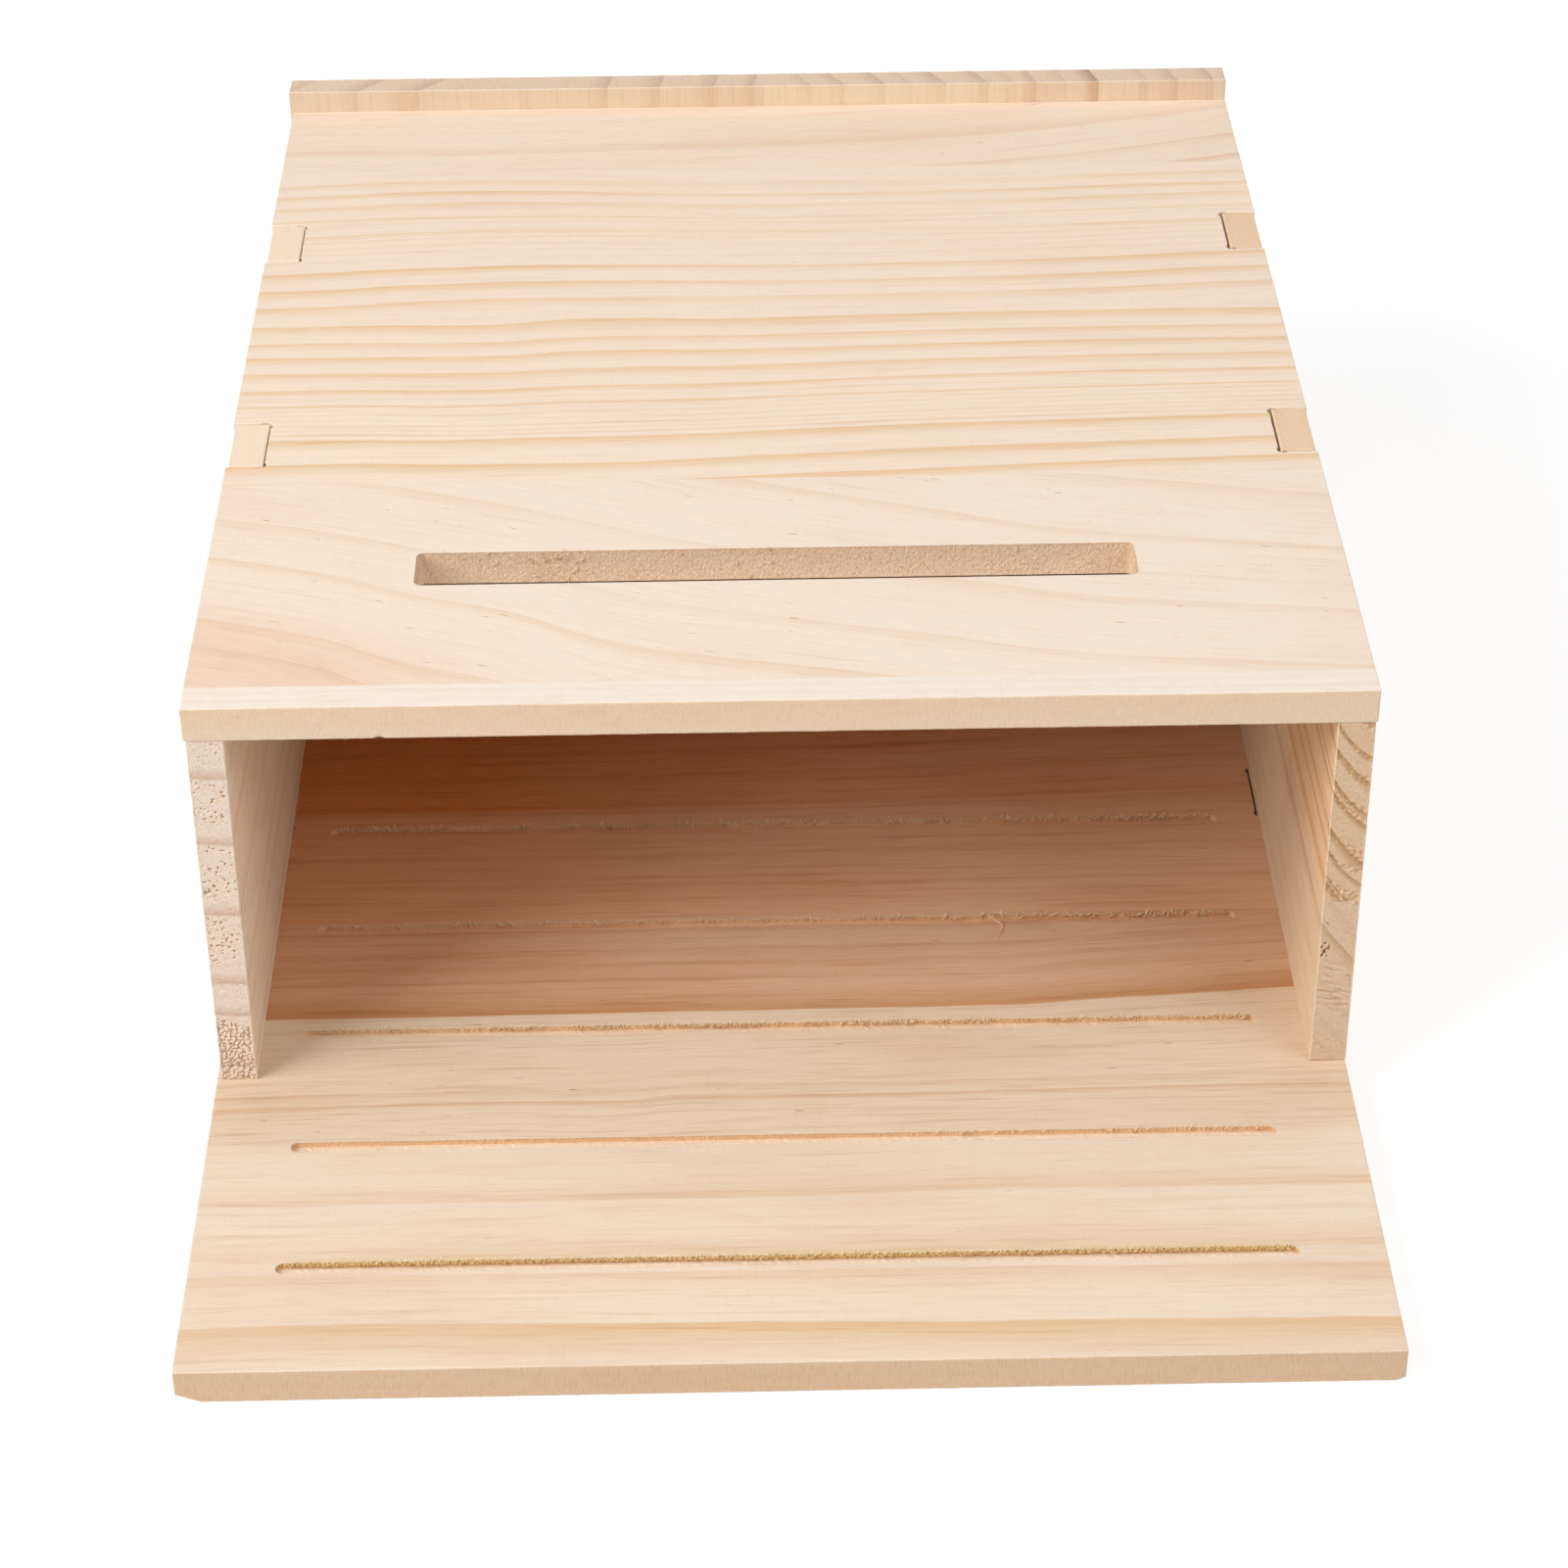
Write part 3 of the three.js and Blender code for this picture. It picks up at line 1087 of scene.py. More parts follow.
def planed(bench, wood, look):
    """Tone of a planed face: pale early wood, tan late wood, and the small marks that follow the grain."""
    tone = bench.blend(wood.hardness * look["face_rings"], look["early"], look["late"])
    # The heart tint is heartwood; on the back's entrance and middle staves, inside the chamber, it also paints
    # shade
    if look["heart"]:
        heart = bench.curve(wood.ring, look["heart"]) * bench.curve(wood.along, look["heart_along"])
        tone = bench.blend(heart, tone, heartwood, "MULTIPLY")
    shimmer = bench.noise(wood.lie, shimmer_lengths)
    for value, shares, depth, tint in (
        (wood.cloud, blush_shares, look["blush"], blush_pink),
        (wood.streak, streak_shares, look["streaks"] * streak_depth, tan_fibre),
        (wood.hair, hair_shares, look["hairs"] * hair_depth, tan_fibre),
        (wood.fibre, fibre_shares, look["fibres"] * fibre_depth, tan_fibre),
        (shimmer, shimmer_shares, shimmer_depth, tan_fibre),
    ):
        tone = bench.blend(bench.step(value, *shares, highest=depth), tone, tint, "MULTIPLY")
    pale = bench.step(wood.fibre, *pale_fibre_shares, highest=look["fibres"] * fibre_depth)
    tone = bench.blend(pale, tone, pale_fibre)
    dash = bench.noise(wood.lie, dash_lengths, detail=1.0)
    return bench.blend(bench.step(dash, *dash_shares, highest=look["dashes"]), tone, dash_brown)


print("Resin dashes are", dash_lengths[0] * 1000, "mm long")

# %% Edges with the comb of a fine saw, and ends with rings, rays and pores
facing_shares = (0.5, 0.8)
comb_lengths = (0.0004, 1.0, 0.003)
comb_shares = (0.45, 0.7)
stroke_lengths = (0.00028, 0.0007, 0.001)
stroke_shares = (0.56, 0.7)
ray_lengths = (0.0009, 0.0011, 0.0004)
ray_shares = (0.45, 0.75)
pore_lengths = (0.00035, 0.00035, 0.00035)
pore_shares = (0.6, 0.8)
ray_depth, pore_depth = 0.4, 0.25


def facing(bench, normal, axis):
    """1 on the faces that look along an axis, either way."""
    return bench.step(bench.maths("ABSOLUTE", bench.axis(normal, axis)), *facing_shares)


def edges_and_ends(bench, wood, look, tone):
    """Tone of the edges, which a saw combed, and of the ends, which show rings, rays and pores."""
    normal = bench.node("ShaderNodeNewGeometry", {}, {}, "True Normal")
    edge = facing(bench, normal, wood.order[1])
    wood.comb = bench.noise(bench.vector(wood.along, 0.0, wood.through), comb_lengths, detail=2.0) * edge
    if look["edge_wood"]:
        tint, share = look["edge_wood"]
        tone = bench.blend(edge * share, tone, tint)
    combed = bench.step(wood.comb, *comb_shares, highest=look["combed"])
    tone = bench.blend(combed, tone, tan_fibre, "MULTIPLY")
    wood.stroke = bench.noise(wood.lie, stroke_lengths, detail=2.0) * edge
    tone = bench.blend(bench.step(wood.stroke, *stroke_shares, highest=look["strokes"]), tone, pale_fibre)
    wood.end = facing(bench, normal, wood.order[0])
    wood.pore = bench.noise(wood.lie, pore_lengths, detail=2.0)
    ray = bench.noise(wood.lie, ray_lengths, detail=3.0)
    cross = bench.blend(look["end_share"], tone, look["end_wood"])
    cross = bench.blend(wood.hardness * look["end_lines"], cross, look["line_wood"])
    cross = bench.blend(bench.step(ray, *ray_shares, highest=ray_depth), cross, end_tan, "MULTIPLY")
    cross = bench.blend(bench.step(wood.pore, *pore_shares, highest=pore_depth), cross, pore_brown_and_hollow_shade)
    wood.upright = 1.0 - bench.maths("ABSOLUTE", bench.axis(normal, wood.order[2]))
    return bench.blend(wood.end, tone, cross)


print("Rays are", ray_lengths[1] * 1000, "mm long")

# %% What the cutter and the saw left, with painted shade in hollows and a painted highlight on edges
fuzz_lengths = (0.00024, 0.0006, 0.0007)
fuzz_shares = (0.34, 0.66)
rubbed_and_highlight_shares = (0.35, 0.6)
upright_shares = (0.3, 0.7)
hollow_shade_depths = (0.00012, 0.0005)
cut_share, hollow_shade_share, rubbed_and_highlight_share = 0.85, 0.5, 0.45


def tool_marks(bench, wood, look, tone):
    """Torn walls, painted shade in the hollows by their depth, and paler broken edges, partly rubbed and partly
    a painted highlight, by the numbers that the board maker left on the mesh.
    """
    cut, hollow, broken = [
        bench.node("ShaderNodeAttribute", {"attribute_name": name}, {}, "Fac")
        for name in ("cut", "hollow", "arris")
    ]
    wood.fuzz = bench.noise(wood.lie, fuzz_lengths, detail=3.0, roughness=0.6)
    wood.walls = cut * bench.step(wood.upright, *upright_shares)
    torn_tone = bench.blend(bench.step(wood.fuzz, *fuzz_shares), *look["torn_wood"])
    tone = bench.blend(wood.walls * cut_share, tone, torn_tone)
    # Hollows are darkened by their depth below the true surface: painted shade
    hollow_shade = bench.step(hollow, *hollow_shade_depths) * (1 - cut)
    tone = bench.blend(hollow_shade * hollow_shade_share, tone, look["hollow_wood_and_shade"])
    # Broken edges are made paler: partly rubbed wood, partly a painted highlight
    worn = broken * bench.step(wood.fuzz, *rubbed_and_highlight_shares, highest=rubbed_and_highlight_share)
    return bench.blend(worn, tone, pale_fibre)


print("Hollows count as pits from", hollow_shade_depths[0] * 1000, "mm down")

# %% The surface, and the whole recipe
speckle_lengths = (0.0016, 0.00042, 0.0005)
plain_roughness = 0.62
ring_gloss, speckle_roughness, end_roughness = 0.08, 0.08, 0.12
fibre_relief, speckle_relief, ring_relief, comb_relief, stroke_relief = 0.5, 0.35, 0.35, 0.5, 1.2
pore_relief, fuzz_relief = 1.2, 1.4
bump_strength = 0.35
bump_distance = 0.00025
specular = 0.35


def pine(name, look):
    """Pine as a material, from the look of one stave."""
    look = {**plain_look, **look}
    material, bench = new_material(name)
    wood = stripes(bench, look)
    tone = planed(bench, wood, look)
    tone = edges_and_ends(bench, wood, look, tone)
    tone = tool_marks(bench, wood, look, tone)
    speckle = bench.noise(wood.lie, speckle_lengths, detail=2.0)
    height = wood.fibre * fibre_relief + speckle * speckle_relief + wood.hardness * ring_relief
    height = height + wood.comb * comb_relief + wood.stroke * stroke_relief
    height = height + wood.end * wood.pore * pore_relief + wood.walls * wood.fuzz * fuzz_relief
    inputs = {"Height": height, "Strength": bump_strength, "Distance": bump_distance}
    bump = bench.node("ShaderNodeBump", {}, inputs)
    rough = plain_roughness - wood.hardness * ring_gloss
    rough = rough + speckle * speckle_roughness + wood.end * end_roughness
    inputs = {"Base Color": tone, "Roughness": rough, "Normal": bump, "Specular IOR Level": specular}
    surface = bench.node("ShaderNodeBsdfPrincipled", {}, inputs)
    bench.node("ShaderNodeOutputMaterial", {}, {"Surface": surface})
    return material


print("A speckle is", speckle_lengths[0] * 1000, "mm long")

# %% [markdown]
# ## The staves' own stripes
#
# Each list below is one stave. A ring has its end's distance across the board, its strength, and the
# reach of its tan wood. The drift curves say how far the stripes climb along the board, from left to
# right.

# %% Where each board's grain starts
front_lay = (Vector((front_middle, front_low.y, front_high.z)), "XYZ")
back_lay = (Vector((back_middle, back_low.y, back_high.z)), "XYZ")
roof_lay = (Vector(((roof_low.x + roof_high.x) / 2, roof_high.y, roof_low.z)), "ZXY")
left_lay = (Vector((left_high.x, left_low.y, back_high.z)), "YZX")
right_lay = (Vector((right_low.x, right_low.y, back_high.z)), "YZX")
print("The front panel's grain starts at", [round(side, 4) for side in front_lay[0]])

# %% Front panel
looks = {}
looks["front_edge_strip"] = dict(
    lay=(*front_lay, (0.0, 0.008)),
    rings=[(-0.0001, 0.8, 0.006), (0.003, 0.2, 0.002), (0.0062, 0.2, 0.002)],
    early=colour(252, 238, 224), late=colour(240, 214, 186), lean=0.35, streaks=0.15, blush=0.0,
    edge_wood=(colour(240, 210, 175), 0.7), strokes=0.5,
)
looks["front_slot_stave"] = dict(
    lay=(*front_lay, (0.008, 0.092)),
    rings=[
        (0.025, 0.5, 0.005), (0.036, 0.5, 0.005), (0.061, 0.6, 0.005), (0.078, 0.4, 0.005),
        (0.101, 0.4, 0.005), (0.112, 0.15, 0.004), (0.128, 0.5, 0.005), (0.152, 0.35, 0.006),
    ],
    early=colour(252, 234, 216), late=colour(240, 210, 178), lean=2.6, streaks=0.3, dashes=0.7, blush=0.14,
    heart=[(-0.1, 0.0), (0.004, 0.06), (0.012, 0.22), (0.034, 0.19), (0.048, 0.04), (0.1, 0.0)],
    heart_along=[(-0.125, 1.0), (-0.1, 0.95), (-0.07, 0.4), (-0.045, 0.0), (0.125, 0.0)],
    torn_wood=(colour(218, 182, 148), colour(248, 220, 190)),
    near_drift=[
        (-0.125, 0.0), (-0.1, -0.009), (-0.08, -0.02), (-0.06, -0.027), (-0.03, -0.042), (0.0, -0.048),
        (0.03, -0.054), (0.06, -0.061), (0.1, -0.066), (0.125, -0.0685),
    ],
    far_drift=[
        (-0.125, 0.0), (-0.09, -0.009), (-0.06, -0.018), (-0.03, -0.028), (-0.005, -0.037),
        (0.02, -0.045), (0.045, -0.053), (0.06, -0.058), (0.09, -0.064), (0.125, -0.071),
    ],
)
looks["front_middle_stave"] = dict(
    lay=(*front_lay, (0.1, 0.169)),
    rings=[
        (0.0915, 0.9, 0.005), (0.101, 0.9, 0.006), (0.1125, 0.9, 0.006), (0.115, 0.6, 0.001),
        (0.117, 0.4, 0.0008), (0.1193, 0.5, 0.001), (0.122, 0.25, 0.001), (0.1245, 0.35, 0.0012),
        (0.1268, 0.3, 0.001), (0.129, 0.8, 0.0016), (0.1325, 0.25, 0.001), (0.1365, 0.8, 0.005),
        (0.145, 0.7, 0.006), (0.153, 0.8, 0.005), (0.16, 0.65, 0.005), (0.169, 0.8, 0.007),
    ],
    early=colour(252, 232, 211), late=colour(240, 201, 152), lean=0.35, blush=0.08, streaks=0.4,
    near_drift=[
        (-0.125, 0.0), (-0.1, 0.0005), (-0.07, -0.0005), (-0.045, -0.0005), (-0.02, 0.0005),
        (0.0, 0.002), (0.03, 0.004), (0.05, 0.005), (0.08, 0.0065), (0.115, 0.008), (0.125, 0.0085),
    ],
    far_drift=[
        (-0.125, 0.0), (-0.095, 0.0), (-0.075, -0.0005), (-0.055, 0.001), (-0.035, 0.002),
        (-0.01, 0.0012), (0.005, 0.0015), (0.03, 0.0025), (0.06, 0.003), (0.125, 0.003),
    ],
)
looks["front_upper_stave"] = dict(
    lay=(*front_lay, (0.182, 0.24)),
    rings=[
        (0.1785, 0.7, 0.006), (0.1875, 0.9, 0.006), (0.1965, 1.0, 0.005), (0.2025, 0.3, 0.001),
        (0.2062, 0.25, 0.0008), (0.21, 0.3, 0.002), (0.2135, 0.35, 0.0015), (0.217, 0.6, 0.003),
        (0.2228, 0.3, 0.0012), (0.2255, 0.6, 0.003), (0.2335, 0.55, 0.005), (0.24, 0.8, 0.0035),
        (0.2465, 0.4, 0.005), (0.2555, 0.3, 0.003),
    ],
    early=colour(252, 232, 212), late=colour(240, 202, 152), lean=0.3, blush=0.08, streaks=0.4,
    vigour=[(-0.125, 1.0), (-0.05, 0.95), (-0.01, 0.6), (0.05, 0.6), (0.09, 0.95), (0.125, 0.9)],
    near_drift=[
        (-0.125, 0.0), (-0.11, 0.0007), (-0.08, 0.0032), (-0.055, 0.0042), (-0.02, 0.0037),
        (0.0, 0.0032), (0.04, 0.0037), (0.08, 0.0052), (0.115, 0.0082), (0.125, 0.0087),
    ],
    far_drift=[
        (-0.125, 0.0), (-0.105, 0.0015), (-0.08, 0.0025), (-0.055, 0.002), (-0.035, 0.0008),
        (-0.015, -0.0005), (0.0, -0.001), (0.055, -0.0005), (0.085, 0.001), (0.125, 0.0025),
    ],
)
looks["front_roof_stave"] = dict(
    lay=(*front_lay, (0.2545, 0.2928)),
    rings=[
        (0.237, 0.8, 0.005), (0.249, 0.5, 0.004), (0.2655, 0.5, -0.008), (0.284, 0.2, 0.003),
        (0.291, 0.4, 0.006),
    ],
    early=colour(250, 229, 208), late=colour(236, 202, 170), lean=2.2, streaks=0.35, dashes=0.6, blush=0.12,
    near_drift=[
        (-0.125, 0.0), (-0.08, -0.001), (-0.03, 0.0005), (0.0, 0.002), (0.03, 0.0045), (0.06, 0.0075),
        (0.09, 0.0135), (0.125, 0.0225),
    ],
    far_drift=[
        (-0.125, 0.0), (-0.03, 0.0005), (0.03, 0.0045), (0.06, 0.0075), (0.09, 0.0135), (0.125, 0.0225),
    ],
)
print("Looks for", len(looks), "staves so far")

# %% Back panel
landing_rings = [
    (0.0128, 1.0, 0.016), (0.0285, 0.5, 0.008), (0.034, 0.55, -0.01), (0.052, 0.6, -0.008),
    (0.0722, 0.2, 0.004),
]
landing = dict(
    lay=(*back_lay, (0.013, 0.052)), rings=landing_rings,
    early=colour(245, 226, 204), late=colour(234, 198, 156), lean=0.5, streaks=0.6, blush=0.2,
    edge_wood=(colour(228, 188, 148), 0.75), combed=0.2,
    torn_wood=(colour(210, 160, 102), colour(240, 204, 150)),
    vigour=[(-0.125, 0.7), (-0.06, 0.85), (0.0, 1.0), (0.125, 1.0)],
    near_drift=[
        (-0.125, 0.0), (-0.1, 0.0006), (-0.06, 0.0), (0.0, -0.001), (0.06, -0.002), (0.125, -0.0026),
    ],
    far_drift=[(-0.125, 0.0), (-0.09, -0.0005), (0.0, 0.0), (0.05, 0.001), (0.125, 0.001)],
)
looks["back_edge_strip"] = landing
looks["back_landing_stave"] = landing
# From its ring at 0.116 inwards, under the front panel, the heart tint darkens the stave, more at the left:
# partly heartwood, partly painted shade
looks["back_entrance_stave"] = dict(
    lay=(*back_lay, (0.084, 0.125)),
    rings=[
        (0.0838, 0.6, 0.002), (0.088, 0.3, 0.004), (0.116, 0.9, -0.012), (0.128, 0.3, -0.003),
        (0.1345, 0.3, 0.003), (0.14, 0.3, 0.004), (0.148, 0.5, 0.003),
    ],
    early=colour(241, 219, 193), late=colour(216, 172, 126), lean=1.2, streaks=0.8, dashes=0.7, hairs=1.0,
    torn_wood=(colour(228, 178, 130), colour(250, 214, 170)),
    heart=[(0.05, 0.0), (0.1157, 0.0), (0.1165, 0.62), (0.2, 0.56)],
    heart_along=[(-0.125, 1.0), (-0.05, 0.8), (0.0, 0.6), (0.05, 0.6), (0.125, 0.7)],
    near_drift=[
        (-0.125, 0.0), (-0.06, 0.0013), (-0.042, 0.0006), (-0.02, 0.002), (0.06, 0.0026),
        (0.125, 0.0028),
    ],
    far_drift=[
        (-0.125, 0.0), (0.0, 0.0008), (0.05, 0.001), (0.07, 0.003), (0.09, 0.0045), (0.12, 0.0068),
    ],
)
# Deep in the chamber: its darker, redder tones and its heart tint, which grows inwards and towards the left,
# are partly the wood's own and partly painted shade, darkest at the upper left
looks["back_middle_stave"] = dict(
    lay=(*back_lay, (0.16, 0.22)),
    rings=[
        (0.1605, 0.4, 0.003), (0.1665, 0.4, 0.003), (0.1695, 0.3, 0.002), (0.1785, 0.45, 0.003),
        (0.1845, 0.3, 0.003), (0.1965, 0.6, 0.004), (0.1995, 0.6, 0.002), (0.212, 0.5, 0.005),
        (0.2235, 0.5, 0.006),
    ],
    early=colour(245, 214, 181), late=colour(218, 168, 122), lean=0.8, streaks=1.0, hairs=0.8, dashes=0.5,
    face_rings=0.6, torn_wood=(colour(246, 190, 136), colour(255, 226, 182)),
    heart=[(0.1, 0.35), (0.196, 0.36), (0.1985, 0.64), (0.4, 0.64)],
    heart_along=[(-0.125, 1.9), (-0.08, 1.6), (0.0, 0.95), (0.125, 0.6)],
    near_drift=straight,
    far_drift=[(-0.125, 0.0), (-0.06, 0.0), (0.0, 0.0012), (0.06, 0.004), (0.11, 0.007)],
)
print("Looks for", len(looks), "staves so far")

# %% Staves that no photograph shows
hidden_seed = 7
hidden_pitch = 0.008
hidden_strength = 0.7
pitch_wander_length = 0.0011
least_share, spread_share = 0.75, 0.5
back_reach_share = 0.7


def uneven_rings(first, last, seed):
    """Rings at an uneven pitch, for wood that is out of sight in the photograph."""
    rings = []
    place = first
    while place < last:
        bump = abs(noise.noise(Vector((place / pitch_wander_length, seed, 0))))
        wide = least_share + spread_share * bump
        rings.append((place, hidden_strength * wide, hidden_pitch * wide * back_reach_share))
        place += hidden_pitch * wide
    return rings


hidden_reach = [
    ("back_upper_stave", 0.23, 0.33), ("back_roof_stave", 0.31, 0.41), ("back_hanging_strip", 0.39, 0.43),
]
for number, (name, first, last) in enumerate(hidden_reach):
    looks[name] = dict(
        lay=(*back_lay, (first, last)), rings=uneven_rings(first, last, hidden_seed + number),
        early=colour(244, 218, 186), late=colour(210, 168, 120), lean=0.7,
    )
print("Hidden staves:", [name for name, first, last in hidden_reach])

# %% Roof
roof_end = colour(237, 211, 187)
roof_line = colour(176, 142, 122)
roof_marks = dict(
    face_rings=0.3, streaks=0.4, hairs=0.35,
    end_wood=roof_end, end_share=0.84, end_lines=0.4, line_wood=roof_line,
)
looks["roof_left_stave"] = dict(
    lay=(*roof_lay, (-0.125, -0.06)),
    rings=[(-0.118, 0.5, 0.008), (-0.1, 0.9, 0.008), (-0.0835, 0.9, 0.009), (-0.073, 0.2, 0.006)],
    early=colour(235, 212, 185), late=colour(204, 166, 130), lean=-0.9, **roof_marks,
)
looks["roof_inner_left_stave"] = dict(
    lay=(*roof_lay, (-0.06, 0.0)),
    rings=[
        (-0.0595, 0.9, 0.006), (-0.05, 0.15, 0.004), (-0.039, 1.0, 0.007), (-0.025, 0.9, 0.007),
        (-0.0105, 0.9, 0.006), (0.0, 1.0, 0.005),
    ],
    early=colour(235, 211, 183), late=colour(206, 164, 126), lean=-0.2, **roof_marks,
)
looks["roof_inner_right_stave"] = dict(
    lay=(*roof_lay, (0.0, 0.07)),
    rings=[
        (0.01, 0.6, 0.005), (0.019, 0.8, 0.006), (0.03, 0.9, 0.006), (0.037, 0.5, 0.005),
        (0.046, 0.9, 0.007), (0.0575, 0.9, 0.007), (0.065, 0.5, 0.005),
    ],
    early=colour(240, 219, 190), late=colour(214, 176, 136), lean=0.5, **roof_marks,
)
looks["roof_right_stave"] = dict(
    lay=(*roof_lay, (0.07, 0.125)),
    rings=[
        (0.072, 0.8, 0.005), (0.08, 0.4, 0.005), (0.0886, 2.2, 0.006), (0.102, 0.4, 0.005),
        (0.11, 0.8, 0.006), (0.12, 0.8, 0.006),
    ],
    early=colour(237, 212, 185), late=colour(198, 146, 110), lean=0.3, **roof_marks,
)
print("Looks for", len(looks), "staves so far")

# %% Sides
left_band = 0.0034
looks["left_side"] = dict(
    lay=(*left_lay, (0.0, 0.09)),
    rings=[(place, 0.75, -left_band) for place in left_ring_places[1:]],
    early=colour(252, 234, 212), late=colour(238, 196, 154), lean=0.06, hairs=1.0, streaks=1.0, blush=0.0,
    face_rings=0.75, edge_wood=(colour(252, 229, 203), 0.85),
    end_wood=colour(241, 224, 213), end_share=0.6, end_lines=0.7, line_wood=colour(204, 164, 140),
    # Painted shade in its pits and crumbs
    hollow_wood_and_shade=colour(170, 124, 98),
)
ring_up_share, ring_wide_share = 0.75, 2.2
ridges = list(zip(ridge_places, ridge_widths))
looks["right_side_front_stave"] = dict(
    lay=(*right_lay, (0.044, 0.09)),
    rings=[(place + width * ring_up_share, 1.0, width * ring_wide_share) for place, width in ridges],
    early=colour(242, 210, 174), late=colour(208, 158, 108), lean=1.75, bow=-70.0, hairs=1.2, streaks=0.9,
    face_rings=0.75, edge_wood=(colour(243, 211, 178), 0.85),
    end_wood=colour(228, 197, 166), end_share=0.6, end_lines=0.8, line_wood=colour(190, 144, 94),
    # Painted shade in the trenches of its rings, together with their golden brown
    hollow_wood_and_shade=colour(178, 130, 80),
)
looks["right_side_wall_stave"] = dict(
    lay=(*right_lay, (0.0, 0.044)),
    rings=[
        (0.008, 0.4, 0.004), (0.015, 0.3, 0.004), (0.024, 0.4, 0.005), (0.038, 1.6, 0.005),
        (0.046, 0.4, 0.005),
    ],
    early=colour(235, 209, 179), late=colour(210, 164, 122), lean=1.37, hairs=0.9,
    face_rings=0.4, end_wood=colour(232, 203, 174), end_share=0.6, end_lines=0.3,
    # Painted shade in the broken knot, together with its red-brown wood
    line_wood=colour(196, 152, 106), hollow_wood_and_shade=colour(176, 104, 72),
)
print("Looks for", len(looks), "staves")

# %% [markdown]
# ## Saw the staves and hand them over
#
# Each board is sawn where the CAD staves meet. The pieces replace the CAD nodes, which stay hidden for
# the physics, and ride on the one body that this box has.

# %% Pieces
def linked(name, data):
    """An object in the scene, at the origin."""
    thing = bpy.data.objects.new(name, data)
    bpy.context.scene.collection.objects.link(thing)
    return thing


def hand_over(mesh, node, slot):
    """Makes an object of one stave, in its place and with its pine."""
    bmesh.ops.remove_doubles(mesh, verts=mesh.verts[:], dist=weld)
    bmesh.ops.recalc_face_normals(mesh, faces=mesh.faces[:])
    name = node + "_board"
    data = bpy.data.meshes.new(name)
    mesh.to_mesh(data)
    mesh.free()
    piece = linked(name, data)
    data.materials.append(pine("pine_" + node, looks[node]))
    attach(piece, "root")
    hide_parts(node)
    return piece


staves = []
for board, names, axis, slot in (
    (front, front_staves, 1, "front_panel"),
    (back, back_staves, 1, "back_panel"),
    (roof, roof_staves, 0, "roof"),
    (left, left_staves, 2, "left_side"),
    (right, right_staves, 2, "right_side"),
):
    for mesh, node in zip(sawn_apart(board, axis, joints(names, axis)), names):
        staves.append(hand_over(mesh, node, slot))
for piece in staves:
    print(piece.name, len(piece.data.polygons), "faces")

# %% [markdown]
# ## Torn fibres
#
# The cutter ploughed the grooves along the grain, so it tore the wood as often as it cut it, and
# thousands of short fibres still stand on the far walls. Each is the same thing again with another size
# and turn, which is work for Geometry Nodes: points are strewn on a band of wall, a curled fibre is set
# on each point, and the result is made real. A band's crowd attribute says how thickly they stand along
# it, read off the photograph. The far wall of the slot has only a few tufts.

# %% Bands of wall that carry fibres
band_step = 0.0008
groove_crowd_shares = [
    [(-0.106, 1.0), (0.106, 1.0)],
    [(0.02, 0.0), (0.035, 0.25), (0.106, 0.4)],
    [(-0.1, 0.6), (-0.08, 1.0), (0.106, 1.0)],
    [(-0.106, 0.1), (0.05, 0.3), (0.07, 0.9), (0.106, 0.9)],
    [(-0.095, 0.7), (0.0, 0.8), (0.106, 1.0)],
]
slot_crowd_shares = [
    (-0.056, 0.03), (-0.053, 1.0), (-0.044, 1.0), (-0.041, 0.03), (0.03, 0.06), (0.075, 0.03),
]
fibre_root_depth = 0.0007
tuft_length = 0.0035
tuft_noises = (-0.25, 0.3)
even_share, tufted_share = 0.2, 0.75


def level_at(place, points):
    """Reads a line through (place, level) points, which runs on level beyond its ends."""
    for (first, low), (second, high) in zip(points, points[1:]):
        if place < second:
            return low + (high - low) * max(0, (place - first) / (second - first))
    return points[-1][1]


print("The crowd in the middle of the first groove:", level_at(0, groove_crowd_shares[0]))


# %% Narrow bands of wall
def wall_band(name, walls):
    """Narrow upright quads that face the landing end. A wall is its reach, its Y, its Z levels, its crowd
    and how far that gathers in tufts."""
    band = bmesh.new()
    crowd = band.verts.layers.float.new("crowd")
    for reach_x, place, levels, crowd_shares, gathered in walls:
        count = round((reach_x[1] - reach_x[0]) / band_step)
        columns = []
        for step in range(count + 1):
            x = reach_x[0] + (reach_x[1] - reach_x[0]) * step / count
            column = [band.verts.new((x, place, level)) for level in levels]
            tuft = smooth_step(wander(Vector((x, place, 0)), tuft_length), *tuft_noises)
            for vertex in column:
                vertex[crowd] = level_at(x, crowd_shares) * (1 - gathered + gathered * tuft)
            columns.append(column)
        for left_pair, right_pair in zip(columns, columns[1:]):
            band.faces.new((left_pair[0], right_pair[0], right_pair[1], left_pair[1]))
    data = bpy.data.meshes.new(name)
    band.to_mesh(data)
    band.free()
    return linked(name, data)


def straight_reach(middle, length):
    """Where the straight part of a cut begins and ends along X."""
    half = length / 2 - cutter_radius
    return (middle - half, middle + half)


groove_reach = straight_reach(back_middle, groove_length)
groove_levels = (back_high.z - fibre_root_depth, back_high.z - crisp * arris)
groove_walls = []
for middle, crowd_shares in zip(groove_places, groove_crowd_shares):
    gathered = tufted_share if groove_walls else even_share
    groove_walls.append((groove_reach, middle + cutter_radius, groove_levels, crowd_shares, gathered))
slot_reach = straight_reach(front_middle, slot_length)
slot_wall = front_low.y + slot_place + slot_width / 2
slot_levels = (front_low.z + arris, front_high.z - arris)
slot_walls = [(slot_reach, slot_wall, slot_levels, slot_crowd_shares, even_share)]
print("Walls that carry fibres:", len(groove_walls) + len(slot_walls))

